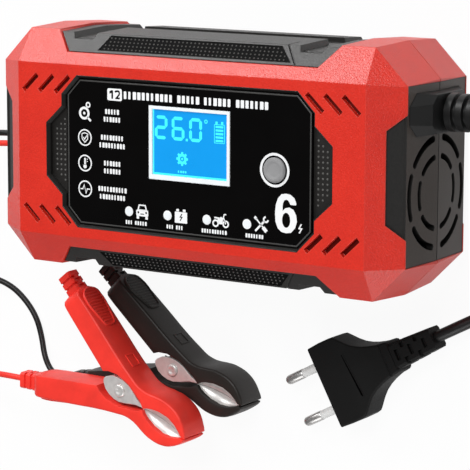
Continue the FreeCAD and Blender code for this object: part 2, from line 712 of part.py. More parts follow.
def biarc(p0, t0, p1, t1):
    """Two arcs from p0 along t0 to p1 along t1."""
    v, t = p1 - p0, t0 + t1
    a, b, c = 2 * (1 - t0.dot(t1)), 2 * v.dot(t), -v.dot(v)
    reach = (-b + math.sqrt(b * b - 4 * a * c)) / (2 * a) if a > 1e-9 else -c / b
    joint = (p0 + t0 * reach + p1 - t1 * reach) * 0.5
    middle_tangent = Vector(p1 - t1 * reach - (p0 + t0 * reach)).normalize()
    return [arc_by_tangent(p0, t0, joint), arc_by_tangent(joint, middle_tangent, p1)]


def coil_points(centre, radius, pitch, turns, entry_deg, sense, diameter, per_turn=4):
    """Spiral in on the lower layer, climb in half a turn, spiral out on top."""
    low, high = diameter / 2, diameter * 1.5 + 0.7
    total = int(round(turns * per_turn))
    middle = total / 2
    points = []
    for i in range(total + 1):
        angle = math.radians(entry_deg) + sense * 2 * math.pi * i / per_turn
        inward = min(i, total - i) / per_turn * pitch
        climb = min(max((i - middle) / (per_turn / 2) + 0.5, 0), 1)
        z = low + (high - low) * climb
        points.append(Vector(centre[0] + (radius - inward) * math.cos(angle),
                             centre[1] + (radius - inward) * math.sin(angle), z))
    return points


def coil(name, centre, radius, pitch, turns, entry_deg, sense, diameter):
    """A tied coil of cord, and the points where the cord goes in and comes out."""
    points = coil_points(centre, radius, pitch, turns, entry_deg, sense, diameter)
    tangents = []
    for i in range(len(points)):
        angle = math.radians(entry_deg) + sense * math.pi / 2 * i
        tangents.append(Vector(-sense * math.sin(angle), sense * math.cos(angle), 0))
    edges = [Part.LineSegment(points[0] - tangents[0] * diameter, points[0]).toShape()]
    for i in range(len(points) - 1):
        edges += biarc(points[i], tangents[i], points[i + 1], tangents[i + 1])
    edges.append(Part.LineSegment(points[-1], points[-1] + tangents[-1] * diameter).toShape())
    wire = Part.Wire(edges)
    tube = sweep(wire, diameter)
    plain = math.pi * diameter ** 2 / 4 * wire.Length
    samples = wire.discretize(Distance=diameter / 2)
    gap = least_gap(samples, diameter)
    print("%s length %.1f volume ratio %.4f least gap %.2f" % (name, wire.Length, tube.Volume / plain, gap))
    feature(name, tube)
    return points[0] - tangents[0] * diameter, points[-1] + tangents[-1] * diameter, wire.Length


def least_gap(samples, diameter):
    skip = 8
    best = 1e9
    for i, p in enumerate(samples):
        for q in samples[i + skip:]:
            best = min(best, (p - q).Length)
    return best - diameter


# Clips

UPPER_EDGE = [(-38.0, 27.7), (-18.0, 18.7), (0.0, 10.6), (7.5, 8.0), (11.5, 7.7), (15.5, 8.4),
              (23.0, 9.6), (29.0, 8.6), (33.5, 5.8), (36.4, 2.6), (37.2, 0.35)]
INNER_EDGE = [(35.0, 0.35), (14.2, 0.35), (11.5, 2.2), (3.2, 5.6), (-3.6, 6.2), (-8.6, 4.8),
              (-10.2, 3.6), (-42.2, 19.1)]
EYE = [(35.0, 0.0), (33.6, 1.4), (30.6, 3.0), (26.5, 4.0), (21.5, 3.8), (17.6, 2.5), (14.0, 0.0)]
CHANNEL = [(-9.0, 2.0), (-9.0, 11.6), (0.0, 8.8), (7.5, 6.2), (11.5, 5.9), (15.5, 6.6), (23.0, 7.8),
           (28.4, 6.9), (32.0, 4.9), (34.6, 1.6), (34.6, -1.0), (-9.0, -1.0)]
CHEEK = [(-9.2, 0.0), (-6.6, 3.4), (-1.0, 4.9), (4.5, 3.9), (9.5, 1.4), (12.5, 1.6), (16.5, 4.6),
         (23.0, 6.6), (28.0, 5.8), (31.4, 4.0), (34.2, 0.9), (34.2, 0.18), (13.6, 0.18), (9.5, -1.0),
         (4.5, -3.6), (-1.0, -4.9), (-6.6, -3.4)]
JAW_BACK = [(15.4, 3.9), (16.5, 4.6), (23.0, 6.6), (28.0, 5.8), (31.4, 4.0), (33.0, 2.1), (32.2, 1.6),
            (30.7, 3.2), (27.7, 4.9), (23.1, 5.6), (16.9, 3.7), (15.9, 3.1)]
PAD = [(1.2, 0.0), (1.8, 3.0), (3.6, 5.2), (6.4, 6.2), (9.5, 6.2), (19.0, 4.0), (20.2, 2.8)]
PAD_RAISE = 1.0
BOOT_LENGTH = 9.0
TAIL_ROUND = 4.5


def clip_cover():
    """Plastic cover of one lever: closed handle, channel over the jaw, thumb pad, boot."""
    half = size("clip_width") / 2
    body = prism(UPPER_EDGE + INNER_EDGE, -half, half)
    body = body.cut(prism(CHANNEL, -half + 1.5, half - 1.5))
    body = body.cut(prism(EYE + [(14.0, -2), (35.0, -2)], -half - 1, half + 1))
    tail, inner = Vector(*UPPER_EDGE[0], 0), Vector(*INNER_EDGE[-1], 0)
    inward = (Vector(*UPPER_EDGE[1], 0) - tail).normalize()
    outward = Vector(-inward.y, inward.x, 0)
    width = Vector(0, 0, 1)
    for sign in (-1, 1):
        corner = tail - inward * 4 - outward * 14 + width * (sign * (half - TAIL_ROUND))
        block = Part.makePolygon([corner, corner + inward * (4 + TAIL_ROUND),
                                  corner + inward * (4 + TAIL_ROUND) + width * (sign * 6),
                                  corner + width * (sign * 6), corner])
        block = Part.Face(block).extrude(outward * 18)
        keeper = Part.makeCylinder(TAIL_ROUND, 18, corner + inward * (4 + TAIL_ROUND), outward)
        body = body.cut(block.cut(keeper))
    outline = PAD + [(u, -w) for u, w in reversed(PAD[1:])]
    rim = [tail + inward * u + width * w - outward * 0.3 for u, w in outline]
    pad = Part.Face(Part.makePolygon(closed(rim))).extrude(outward * (PAD_RAISE + 0.3))
    middle = (tail + inner) * 0.5
    boots = [Part.makeCone(3.5, 2.5, BOOT_LENGTH + 3, middle + inward * 3, -inward)]
    for count in range(3):
        start = middle - inward * (1.2 + 2.6 * count)
        boots.append(Part.makeCylinder(3.7 - 0.2 * count, 1.5, start, -inward))
    return fuse([body, pad] + boots), middle - inward * BOOT_LENGTH, -inward


def lever_lower(shape):
    return shape.mirror(Vector(0, 0, 0), Vector(0, 1, 0))


def clip_jaw(outer_face):
    """Steel jaw of one lever: two cheeks joined by a back, with an eye for the rivet."""
    thick = 0.9
    plate = prism(CHEEK, outer_face - thick, outer_face)
    other = prism(CHEEK, -outer_face, -outer_face + thick)
    back = prism(JAW_BACK, -outer_face + 0.1, outer_face - 0.1)
    return fuse([plate, other, back]).cut(rod(1.9, (0, 0, -10), (0, 0, 1), 20))


def clip_rivet():
    half = size("clip_width") / 2 - 1.5
    pin = rod(1.85, (0, 0, -half), (0, 0, 1), 2 * half)
    heads = [rod(2.7, (0, 0, half), (0, 0, 1), 0.8), rod(2.7, (0, 0, -half - 0.8), (0, 0, 1), 0.8)]
    return fuse([pin] + heads)


def clip_spring():
    """Torsion spring on the rivet: loops about the pivot and a leg along each handle."""
    wire, radius, pitch, quarters = 1.0, 2.75, 1.6, 14
    points, tangents = [], []
    for i in range(quarters + 1):
        angle = math.pi / 2 * (i - 1)
        points.append(Vector(radius * math.cos(angle), radius * math.sin(angle),
                             pitch * (i - quarters / 2) / 4))
        tangents.append(Vector(-math.sin(angle), math.cos(angle), 0))
    edges = [Part.LineSegment(points[0] - tangents[0] * 7.0, points[0]).toShape()]
    for i in range(quarters):
        edges += biarc(points[i], tangents[i], points[i + 1], tangents[i + 1])
    edges.append(Part.LineSegment(points[-1], points[-1] + tangents[-1] * 7.0).toShape())
    return sweep(Part.Wire(edges), wire)


def clip_frame(x, y, z, heading_deg):
    """Placement of a clip that lies on its side with its jaws towards the heading."""
    return Placement(Vector(x, y, z), Rotation(Vector(0, 0, 1), heading_deg))


# The black clip lies on the surface, and the red one lies on the black one.
CLIP_PLACES = {
    "black": clip_frame(-39.4, -97.6, size("clip_width") / 2, -17.0),
    "red": clip_frame(-55.6, -105.5, size("clip_width") * 1.5 + 0.05, -26.0),
}


def make_clips():
    cover, exit_point, exit_way = clip_cover()
    outer, inner = clip_jaw(size("clip_width") / 2 - 1.55), clip_jaw(size("clip_width") / 2 - 2.55)
    rivet, spring = clip_rivet(), clip_spring()
    exits = {}
    for colour, place in CLIP_PLACES.items():
        pieces = {"upper_cover": cover, "lower_cover": lever_lower(cover), "upper_jaw": outer,
                  "lower_jaw": lever_lower(inner), "rivet": rivet, "spring": spring}
        for part, shape in pieces.items():
            item = feature("%s_clip_%s" % (colour, part), shape)
            item.Placement = place
        low_exit = place.multVec(Vector(exit_point.x, -exit_point.y, 0))
        low_way = place.Rotation.multVec(Vector(exit_way.x, -exit_way.y, 0))
        axis = place.Rotation.multVec(Vector(0, 0, 1))
        print("%s clip pivot %s axis %s wire exit %s way %s lowest %.2f" % (
            colour, rounded(place.Base), rounded(axis, 4), rounded(low_exit), rounded(low_way, 3),
            min(nodes[n].Shape.BoundBox.ZMin for n in nodes if n.startswith(colour + "_clip"))))
        exits[colour] = (low_exit, low_way)
    return exits


def rounded(v, digits=2):
    return (round(v.x, digits), round(v.y, digits), round(v.z, digits))


# Plug

PLUG_HEADING = -151.5
PLUG_FACE = (34.6, -95.8)


def make_plug():
    width, height = size("plug_width"), size("plug_height")
    half, tall = width / 2, height / 2
    side = [(0, half), (-13.4, half), (-18.0, 12.6), (-25.0, 7.9), (-34.0, 6.4)]
    outline = side + [(x, -y) for x, y in reversed(side)]
    body = prism(outline, -tall, tall)
    wedge = Part.makePolygon([Vector(0, -30, tall + 1), Vector(-21, -30, tall + 1), Vector(-21, -30, tall),
                              Vector(-34, -30, 5.6), Vector(-40, -30, 5.6), Vector(-40, -30, tall + 1),
                              Vector(0, -30, tall + 1)])
    wedge = Part.Face(wedge).extrude(Vector(0, 60, 0))
    body = body.cut(wedge).cut(wedge.mirror(Vector(0, 0, 0), Vector(0, 0, 1)))
    groove = solid_box(-17.2, -16.2, -11, 11, tall - 1.6, tall + 1)
    body = body.cut(groove)
    parts = [body, Part.makeCone(4.1, 3.1, 21.0, Vector(-33.5, 0, 0), Vector(-1, 0, 0))]
    for count in range(4):
        parts.append(rod(4.6 - 0.15 * count, (-36.5 - 4.6 * count, 0, 0), (-1, 0, 0), 3.0))
    plug = fuse(parts)
    pins, sleeves = [], []
    for sign in (-1, 1):
        y = sign * size("pin_spacing") / 2
        radius = size("pin_dia") / 2
        metal = rod(radius, (10.0, y, 0), (1, 0, 0), size("pin_length") - 10.0 - 1.4)
        tip = Part.makeCone(radius, radius - 1.0, 1.4, Vector(size("pin_length") - 1.4, y, 0),
                            Vector(1, 0, 0))
        core = rod(1.2, (-6.0, y, 0), (1, 0, 0), 16.0)
        pins.append(fuse([metal, tip, core]))
        sleeve = rod(radius - 0.1, (0, y, 0), (1, 0, 0), 10.0).cut(rod(1.2, (-1, y, 0), (1, 0, 0), 12.0))
        sleeves.append(sleeve)
        plug = plug.cut(rod(1.2, (-6.0, y, 0), (1, 0, 0), 7.0))
    place = Placement(Vector(PLUG_FACE[0], PLUG_FACE[1], tall), Rotation(Vector(0, 0, 1), PLUG_HEADING))
    for name, shape in (("plug_body", plug), ("plug_pins", group(pins)), ("pin_sleeves", group(sleeves))):
        item = feature(name, shape)
        item.Placement = place
    end = place.multVec(Vector(-54.5, 0, 0))
    way = place.Rotation.multVec(Vector(-1, 0, 0))
    print("plug cable end", rounded(end), rounded(way, 3))
    return end, way


def make_leads(exits, plug_end, plug_way):
    mains, wire = size("mains_dia"), size("wire_dia")
    start, end, _ = coil("mains_lead_coil", (143.5, -18.0), 31.0, 5.5, 5.25, 0, -1, mains)
    lead("mains_lead_out", [(122.0, 23.0, SEAM), (134.0, 23.0, SEAM), (148.5, 22.2, 27.0),
                            (161.0, 18.0, 18.2), (170.0, 9.5, 9.6), (174.0, -2.0, 3.7),
                            tuple(start)], mains)
    lead("mains_lead_in", [tuple(end), (127.5, end.y, end.z), (115.7, -51.9, 4.8),
                           (105.4, -57.4, 2.8), tuple(plug_end + Vector(14.0, 7.6, -2.2)),
                           tuple(plug_end + plug_way * 7.5), tuple(plug_end)], mains)

    rest = wire / 2
    y_black, y_red = OUT_GLAND_Y + 2.2, OUT_GLAND_Y - 2.2
    black_start, black_end, _ = coil("black_wire_coil", (-170.0, -48.0), 18.3, 3.1, 5.5, 270, -1, wire)
    lead("black_wire_out", [(-108.0, y_black, SEAM), (-118.0, y_black, SEAM), (-127.5, -3.0, 27.0),
                            (-136.0, -9.5, 19.5), (-143.0, -18.0, 12.0), (-150.0, -26.0, 7.0),
                            (-158.5, black_end.y, black_end.z), tuple(black_end)], wire)
    tip, way = exits["black"]
    hump = rest + 3.7
    lead("black_wire_in", [tuple(tip), tuple(tip + way * 8), (-109.6, -109.2, 5.6), (-115.2, -103.2, 3.4),
                           (-117.9, -94.8, 1.7), (-121.0, -86.4, rest), (-127.2, -78.9, rest),
                           (-135.6, -73.2, rest), (-144.5, -69.6, hump), (-152.5, -67.9, hump),
                           (-160.8, black_start.y, rest), tuple(black_start)], wire)

    red_start, red_end, _ = coil("red_wire_coil", (-168.0, -105.0), 18.3, 3.1, 5.5, 90, 1, wire)
    lead("red_wire_out", [(-108.0, y_red, SEAM), (-118.0, y_red, SEAM), (-129.0, -8.0, 27.5),
                          (-138.0, -16.0, 19.5), (-144.0, -27.0, 11.0), (-147.0, -39.0, 4.4),
                          (-148.2, -51.0, rest), (-148.3, -62.0, rest), (-148.6, -71.5, rest),
                          (-151.0, -79.5, rest), (-156.2, -85.0, rest), (-161.4, red_start.y, rest),
                          tuple(red_start)], wire)
    tip, way = exits["red"]
    lead("red_wire_in", [tuple(tip), tuple(tip + way * 8), (-128.0, -108.9, 21.6), (-136.4, -110.7, 16.2),
                         (-143.6, -114.2, 9.4), (-150.5, -119.4, 5.3),
                         (-158.0, red_end.y, red_end.z), tuple(red_end)], wire)


make_case()
make_trims_and_caps()
make_panel()
make_boards()
make_button()
make_electronics()
make_fan()
make_reliefs()
exits = make_clips()
plug_end, plug_way = make_plug()
make_leads(exits, plug_end, plug_way)

doc.recompute()
for item in doc.Objects:
    if "Invalid" in item.State or "Error" in item.State:
        raise RuntimeError("failed feature: " + item.Label)
for name, item in nodes.items():
    shape = item.Shape
    if shape.isNull() or not shape.isValid():
        raise RuntimeError("bad shape: " + name)
    if not shape.Solids:
        raise RuntimeError("no solid: " + name)
for name, item in nodes.items():
    item.Shape.exportStep("parts/%s.step" % name)
print(len(nodes), "sub-parts")
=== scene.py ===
import json
import math

import bmesh
import bpy
from mathutils import Matrix, Vector
from mathutils.geometry import tessellate_polygon


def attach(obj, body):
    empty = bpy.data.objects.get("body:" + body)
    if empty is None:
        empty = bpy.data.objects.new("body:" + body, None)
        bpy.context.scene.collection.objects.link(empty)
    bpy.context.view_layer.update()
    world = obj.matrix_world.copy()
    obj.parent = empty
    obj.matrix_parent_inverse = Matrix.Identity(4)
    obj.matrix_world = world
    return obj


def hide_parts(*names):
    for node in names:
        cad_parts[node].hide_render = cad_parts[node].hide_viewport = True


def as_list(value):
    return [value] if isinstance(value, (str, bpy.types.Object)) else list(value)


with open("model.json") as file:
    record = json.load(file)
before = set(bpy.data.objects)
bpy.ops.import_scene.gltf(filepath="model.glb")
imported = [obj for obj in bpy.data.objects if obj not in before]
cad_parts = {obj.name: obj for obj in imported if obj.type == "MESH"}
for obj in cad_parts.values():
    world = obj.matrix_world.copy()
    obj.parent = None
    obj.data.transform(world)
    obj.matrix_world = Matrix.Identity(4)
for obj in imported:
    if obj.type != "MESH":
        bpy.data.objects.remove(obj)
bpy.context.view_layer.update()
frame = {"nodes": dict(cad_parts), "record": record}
nodes = frame["nodes"]

# Everything is in the CAD's frame. Points of the object are in millimetres.
MM = 0.001
ROOT = "charger"
DEPTH = 63.2
SEAM = DEPTH / 2


def metres(point):
    return tuple(c * MM for c in point)


# Camera

CAMERA_PLACE = (503.74, 124.83, 805.69)
CAMERA_AXES = ((0.839524, 0.003222, -0.543313),
               (-0.094403, 0.985637, -0.140025),
               (0.535059, 0.168844, 0.827770))
FOCAL_LENGTH = 178.51


def add_camera():
    camera = bpy.data.objects.new("camera", bpy.data.cameras.new("camera"))
    bpy.context.scene.collection.objects.link(camera)
    matrix = Matrix(CAMERA_AXES).transposed().to_4x4()
    matrix.translation = Vector(metres(CAMERA_PLACE))
    camera.matrix_world = matrix
    camera.data.lens = FOCAL_LENGTH
    camera.data.clip_start, camera.data.clip_end = 0.05, 20
    bpy.context.scene.camera = camera


add_camera()


# Materials

materials = {}


class Shader:
    """A material's node tree, with the few calls that the materials here need."""

    def __init__(self, name, colour, roughness, metallic=0.0, specular=0.5, **sockets):
        materials[name] = bpy.data.materials.new(name)
        materials[name].use_nodes = True
        self.tree = materials[name].node_tree
        self.bsdf = self.tree.nodes["Principled BSDF"]
        sockets |= {"Base Color": colour, "Roughness": roughness, "Metallic": metallic,
                    "Specular IOR Level": specular}
        for key, value in sockets.items():
            self.put(value, self.bsdf.inputs[key.replace("_", " ")])
        self.place = self.node("ShaderNodeTexCoord").outputs["Object"]
        self.normal = None

    def put(self, value, socket):
        """Links an output to the socket, or sets it to a number or a colour."""
        if isinstance(value, bpy.types.NodeSocket):
            self.tree.links.new(value, socket)
        else:
            socket.default_value = (*value, 1) if socket.type == "RGBA" else value

    def node(self, kind, inputs=(), **settings):
        """A new node. inputs gives what goes into its sockets, by their names or places."""
        made = self.tree.nodes.new(kind)
        for key, value in settings.items():
            setattr(made, key, value)
        for key, value in dict(inputs).items():
            self.put(value, made.inputs[key])
        return made

    def noise(self, size, detail=3.0, rough=0.55, stretch=None):
        """Noise whose features are about size millimetres across."""
        source = self.place
        if stretch:
            mapping = self.node("ShaderNodeMapping", {"Vector": source, "Scale": stretch})
            source = mapping.outputs["Vector"]
        made = self.node("ShaderNodeTexNoise", {"Vector": source, "Scale": 1 / (size * MM),
                                                "Detail": detail, "Roughness": rough})
        return made.outputs["Fac"]

    def ramp(self, fac, *stops):
        """A change between two stops, each a place with its grey or colour."""
        made = self.node("ShaderNodeValToRGB", {"Fac": fac})
        for element, (place, colour) in zip(made.color_ramp.elements, stops):
            element.position = place
            element.color = (*colour, 1) if isinstance(colour, tuple) else (*[colour] * 3, 1)
        return made.outputs["Color"]

    def mix(self, fac, low, high, blend="MIX"):
        made = self.node("ShaderNodeMix", data_type="RGBA", blend_type=blend)
        sockets = {socket.identifier: socket for socket in (*made.inputs, *made.outputs)}
        for key, value in (("Factor_Float", fac), ("A_Color", low), ("B_Color", high)):
            self.put(value, sockets[key])
        return sockets["Result_Color"]

    def maths(self, kind, a, b=0.0):
        return self.node("ShaderNodeMath", {0: a, 1: b}, operation=kind).outputs["Value"]

    def colour(self, source):
        self.put(source, self.bsdf.inputs["Base Color"])

    def roughness(self, source, low, high):
        remap = self.node("ShaderNodeMapRange", {"Value": source, "To Min": low, "To Max": high})
        self.put(remap.outputs["Result"], self.bsdf.inputs["Roughness"])

    def lean(self, normal):
        self.normal = normal
        self.put(normal, self.bsdf.inputs["Normal"])

    def bump(self, source, depth):
        """Adds a relief of depth millimetres to the surface."""
        inputs = {"Strength": 1.0, "Distance": depth * MM, "Height": source}
        if self.normal is not None:
            inputs["Normal"] = self.normal
        self.lean(self.node("ShaderNodeBump", inputs).outputs["Normal"])

    def soften(self, radius):
        """Rounds the look of the sharp edges, by radius millimetres."""
        made = self.node("ShaderNodeBevel", {"Radius": radius * MM}, samples=4)
        self.lean(made.outputs["Normal"])


def moulded(name, colour, roughness, grain=0.5, depth=0.02, vary=0.12, soft=0.35, **sockets):
    """Moulded plastic or rubber: fine grain, faint patches and softened edges."""
    shader = Shader(name, colour, roughness, **sockets)
    if soft:
        shader.soften(soft)
    dark, light = (tuple(min(c * share, 1) for c in colour) for share in (1 - vary, 1 + vary))
    shader.colour(shader.ramp(shader.noise(14.0, 4.0), (0.3, dark), (0.7, light)))
    fine = shader.noise(grain, 3.0, 0.6)
    shader.roughness(fine, roughness - 0.07, roughness + 0.09)
    shader.bump(fine, depth)


def metal(name, colour, roughness, metallic=1.0):
    """Metal with fine streaks along one way."""
    shader = Shader(name, colour, roughness, metallic)
    shader.soften(0.15)
    streaks = shader.noise(2.5, 3.0, 0.5, stretch=(1, 1, 6))
    shader.roughness(streaks, roughness - 0.06, roughness + 0.08)
    shader.colour(shader.ramp(streaks, (0.25, tuple(c * 0.82 for c in colour)), (0.75, colour)))
    shader.bump(streaks, 0.003)


def lit_screen(name, colour, glow, strength):
    """A screen lit from behind, a little unevenly."""
    shader = Shader(name, colour, 0.3, Emission_Strength=strength)
    patches = shader.noise(9.0, 2.0)
    shader.put(shader.ramp(patches, (0.2, tuple(c * 0.88 for c in glow)), (0.8, glow)),
               shader.bsdf.inputs["Emission Color"])
    shader.roughness(patches, 0.24, 0.34)


def shell_red():
    """Grained red plastic, with a painted highlight that makes it paler along its edges."""
    shader = Shader("red_shell", (0.74, 0.022, 0.007), 0.4, specular=0.7)
    shader.soften(0.45)
    # Where the softened normal turns away from the flat one, a paler red is mixed in: a painted
    # highlight along the edges.
    flat = shader.node("ShaderNodeNewGeometry").outputs["Normal"]
    edge = shader.node("ShaderNodeVectorMath", {0: shader.normal, 1: flat}, operation="DOT_PRODUCT")
    edge_highlight = shader.ramp(edge.outputs["Value"], (0.86, 1.0), (0.99, 0.0))
    patches = shader.ramp(shader.noise(16.0, 4.0), (0.3, (0.69, 0.018, 0.006)),
                          (0.7, (0.77, 0.024, 0.008)))
    grain = shader.noise(0.6, 2.0, 0.5)
    speckle = shader.ramp(grain, (0.3, 0.84), (0.7, 1.0))
    patches = shader.mix(1.0, patches, speckle, "MULTIPLY")
    shader.colour(shader.mix(shader.maths("MULTIPLY", edge_highlight, 0.4), patches, (0.86, 0.13, 0.08)))
    shader.roughness(grain, 0.28, 0.44)
    shader.bump(grain, 0.17)


def end_caps():
    """Black plastic whose flat ends are painted a little paler and warmer than its slopes: a
    painted reflection on the ends.
    """
    shader = Shader("cap_black", (0.012, 0.011, 0.010), 0.45, specular=0.45)
    shader.soften(0.35)
    normal = shader.node("ShaderNodeNewGeometry").outputs["True Normal"]
    parts = shader.node("ShaderNodeSeparateXYZ", {0: normal})
    # Faces that look along x get a paler, warmer colour than the slopes: a painted reflection on
    # the ends.
    ends = shader.ramp(shader.maths("ABSOLUTE", parts.outputs["X"]), (0.93, 0.0), (0.97, 1.0))
    grain = shader.noise(0.9)
    slope = shader.ramp(grain, (0.3, (0.008, 0.0075, 0.007)), (0.7, (0.012, 0.011, 0.010)))
    flat = shader.ramp(grain, (0.3, (0.044, 0.034, 0.029)), (0.7, (0.058, 0.046, 0.039)))
    shader.colour(shader.mix(ends, slope, flat))
    shader.roughness(grain, 0.4, 0.54)
    shader.bump(grain, 0.04)


shell_red()
end_caps()
# A dark red for sheets on the slots' floors: painted shade in the slots.
moulded("slot_shade_red", (0.10, 0.004, 0.002), 0.7, grain=0.6, soft=0, specular=0.1)
moulded("black_case", (0.010, 0.009, 0.008), 0.4, grain=0.9, depth=0.08)
moulded("band_black", (0.002, 0.002, 0.002), 0.6, soft=0, specular=0.08)
moulded("dot_grey", (0.095, 0.092, 0.088), 0.5, grain=0.3, depth=0.01, soft=0, specular=0.3)
# A grey paler than the label, for the rim round it: a painted highlight on its rounded edge.
moulded("rim_highlight_grey", (0.055, 0.054, 0.052), 0.35, depth=0.01, soft=0)
moulded("black_rubber", (0.009, 0.009, 0.009), 0.38, specular=0.35)
moulded("plug_black", (0.009, 0.009, 0.009), 0.5, grain=0.6, depth=0.03, specular=0.12)
# A near-black for the line across the plug: painted shade of a groove.
moulded("groove_black", (0.001, 0.001, 0.001), 0.8, soft=0, specular=0.0)
moulded("red_rubber", (0.90, 0.042, 0.028), 0.4, grain=0.8, depth=0.012, soft=0.2,
        specular=0.35)
moulded("black_cover", (0.018, 0.0145, 0.0125), 0.42, grain=0.8, depth=0.012, soft=0.2,
        specular=0.35)
moulded("grey_plastic", (0.16, 0.16, 0.17), 0.5)
moulded("sleeve_grey", (0.8, 0.8, 0.79), 0.5, grain=0.7, depth=0.01, soft=0)
moulded("white_plastic", (0.86, 0.9, 0.93), 0.35, vary=0.03)
moulded("white_print", (0.88, 0.89, 0.9), 0.5, grain=0.3, depth=0.003, vary=0.04, soft=0)
moulded("button_grey", (0.30, 0.30, 0.305), 0.4)
moulded("label_black", (0.0022, 0.002, 0.002), 0.25, depth=0.001, specular=0.07)
moulded("board_green", (0.03, 0.16, 0.07), 0.4)
moulded("clear_glass", (0.9, 0.95, 0.95), 0.1, vary=0.02, Transmission_Weight=0.8)
metal("plated_steel", (0.76, 0.74, 0.72), 0.34, metallic=0.42)
metal("pin_steel", (0.56, 0.55, 0.54), 0.36, metallic=0.9)
metal("aluminium", (0.78, 0.79, 0.80), 0.35)
metal("copper", (0.72, 0.34, 0.14), 0.3)
lit_screen("screen_blue", (0.0, 0.2, 0.52), (0.0, 0.36, 0.9), 0.42)
lit_screen("screen_pale", (0.04, 0.58, 0.65), (0.05, 0.82, 0.92), 0.6)

# The materials of the CAD's slots, where they have another name than the slot.
SLOT_LOOKS = {"black_plastic": "black_case", "gloss_black": "label_black",
              "screen_glass": "screen_blue", "grey_button": "button_grey"}

for entry in frame["record"]["subparts"]:
    slot, slots = entry["material_slot"], nodes[entry["node"]].data.materials
    cap = "_cap_" in entry["node"] and slot == "black_plastic"
    slots.clear()
    slots.append(materials["cap_black" if cap else SLOT_LOOKS.get(slot, slot)])


def link_piece(obj, body, slot, look):
    bpy.context.scene.collection.objects.link(obj)
    obj.data.materials.append(materials[look])
    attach(obj, body)
    return obj


# Cords

LAYER_GAP, PER_TURN = 0.7, 16


def coil_line(x, y, radius, pitch, turns, entry_deg, sense, diameter):
    """The tied coil of the CAD: in on the lower layer, out on the upper one."""
    low, high = diameter / 2, diameter * 1.5 + LAYER_GAP
    total = round(turns * PER_TURN)
    # A curve of this order runs inside its points, so they lie a little further out.
    wider = 1 / math.cos(math.pi / PER_TURN) ** 0.5
    points = []
    for i in range(total + 1):
        angle = math.radians(entry_deg) + sense * 2 * math.pi * i / PER_TURN
        reach = (radius - min(i, total - i) / PER_TURN * pitch) * wider
        climb = min(max((i - total / 2) / (PER_TURN / 2) + 0.5, 0), 1)
        points.append((x + reach * math.cos(angle), y + reach * math.sin(angle),
                       low + (high - low) * climb))
    return points


def cord_curve(name, points, diameter, look):
    """The visible cord, for the CAD's three pieces of it."""
    data = bpy.data.curves.new(name, "CURVE")
    data.dimensions = "3D"
    data.bevel_depth = diameter / 2 * MM
    data.bevel_resolution = 5
    data.use_fill_caps = True
    data.resolution_u = 8
    spline = data.splines.new("NURBS")
    spline.points.add(len(points) - 1)
    for point, place in zip(spline.points, points):
        point.co = (*metres(place), 1)
    spline.order_u = 3
    spline.use_endpoint_u = True
    obj = link_piece(bpy.data.objects.new(name, data), ROOT, look, look)
    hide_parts(name + "_out", name + "_coil", name + "_in")
    return obj


MAINS_DIA, WIRE_DIA = 4.8, 2.6
# Each route: from the case to the coil, the coil, and on to the plug or the clip.
MAINS_ROUTE = (
    [(122.0, 23.0, SEAM), (134.0, 23.0, SEAM), (148.5, 22.2, 27.0), (161.0, 18.0, 18.2),
     (170.0, 9.5, 9.6), (174.0, -2.0, 3.7)]
    + coil_line(143.5, -18.0, 31.0, 5.5, 5.25, 0, -1, MAINS_DIA) +
    [(127.5, -49.0, 7.9), (115.7, -51.9, 4.8), (105.4, -57.4, 2.8), (96.5, -62.19, 4.65),
     (89.09, -66.21, 6.85), (82.5, -69.79, 6.85)])
BLACK_ROUTE = (
    [(-108.0, 0.0, SEAM), (-118.0, 0.0, SEAM), (-127.5, -3.0, 27.0), (-136.0, -9.5, 19.5),
     (-143.0, -18.0, 12.0), (-150.0, -26.0, 7.0), (-158.5, -29.7, 4.6)]
    + coil_line(-170.0, -48.0, 18.3, 3.1, 5.5, 270, -1, WIRE_DIA)[::-1] +
    [(-160.8, -66.3, 1.3), (-152.5, -67.9, 5.0), (-144.5, -69.6, 5.0), (-135.6, -73.2, 1.3),
     (-127.2, -78.9, 1.3), (-121.0, -86.4, 1.3), (-117.9, -94.8, 1.7), (-115.2, -103.2, 3.4),
     (-109.6, -109.2, 5.6), (-101.46, -110.4, 7.75), (-93.52, -109.39, 7.75)])
RED_ROUTE = (
    [(-108.0, -4.4, SEAM), (-118.0, -4.4, SEAM), (-129.0, -8.0, 27.5), (-138.0, -16.0, 19.5),
     (-144.0, -27.0, 11.0), (-147.0, -39.0, 4.4), (-148.2, -51.0, 1.3), (-148.3, -62.0, 1.3),
     (-148.6, -71.5, 1.3), (-151.0, -79.5, 1.3), (-156.2, -85.0, 1.3), (-161.4, -86.7, 1.3)]
    + coil_line(-168.0, -105.0, 18.3, 3.1, 5.5, 90, 1, WIRE_DIA) +
    [(-158.0, -123.3, 4.6), (-150.5, -119.4, 5.3), (-143.6, -114.2, 9.4), (-136.4, -110.7, 16.2),
     (-128.0, -108.9, 21.6), (-118.9, -108.42, 23.3), (-110.9, -108.67, 23.3)])

mains_lead = cord_curve("mains_lead", MAINS_ROUTE, MAINS_DIA, "black_rubber")
black_wire = cord_curve("black_wire", BLACK_ROUTE, WIRE_DIA, "black_rubber")
red_wire = cord_curve("red_wire", RED_ROUTE, WIRE_DIA, "red_rubber")


# Mesh helpers. A part is a pair of its vertices and its faces.

CORNERS = ((1, 1), (-1, 1), (-1, -1), (1, -1))


def new_mesh(name, part, body, slot, look, crease=35, place=None):
    """A piece from a part, moved by place when it is given.

    It is shaded smooth, but creased where faces turn by more than crease degrees, or flat for 0.
    """
    vertices, faces = part
    mesh = bpy.data.meshes.new(name)
    if place is not None:
        vertices = [place @ Vector(v) for v in vertices]
    mesh.from_pydata([metres(v) for v in vertices], [], faces)
    shape = bmesh.new()
    shape.from_mesh(mesh)
    bmesh.ops.recalc_face_normals(shape, faces=shape.faces)
    shape.to_mesh(mesh)
    shape.free()
    for polygon in mesh.polygons:
        polygon.use_smooth = crease > 0
    if crease:
        mesh.set_sharp_from_angle(angle=math.radians(crease))
    return link_piece(bpy.data.objects.new(name, mesh), body, slot, look)


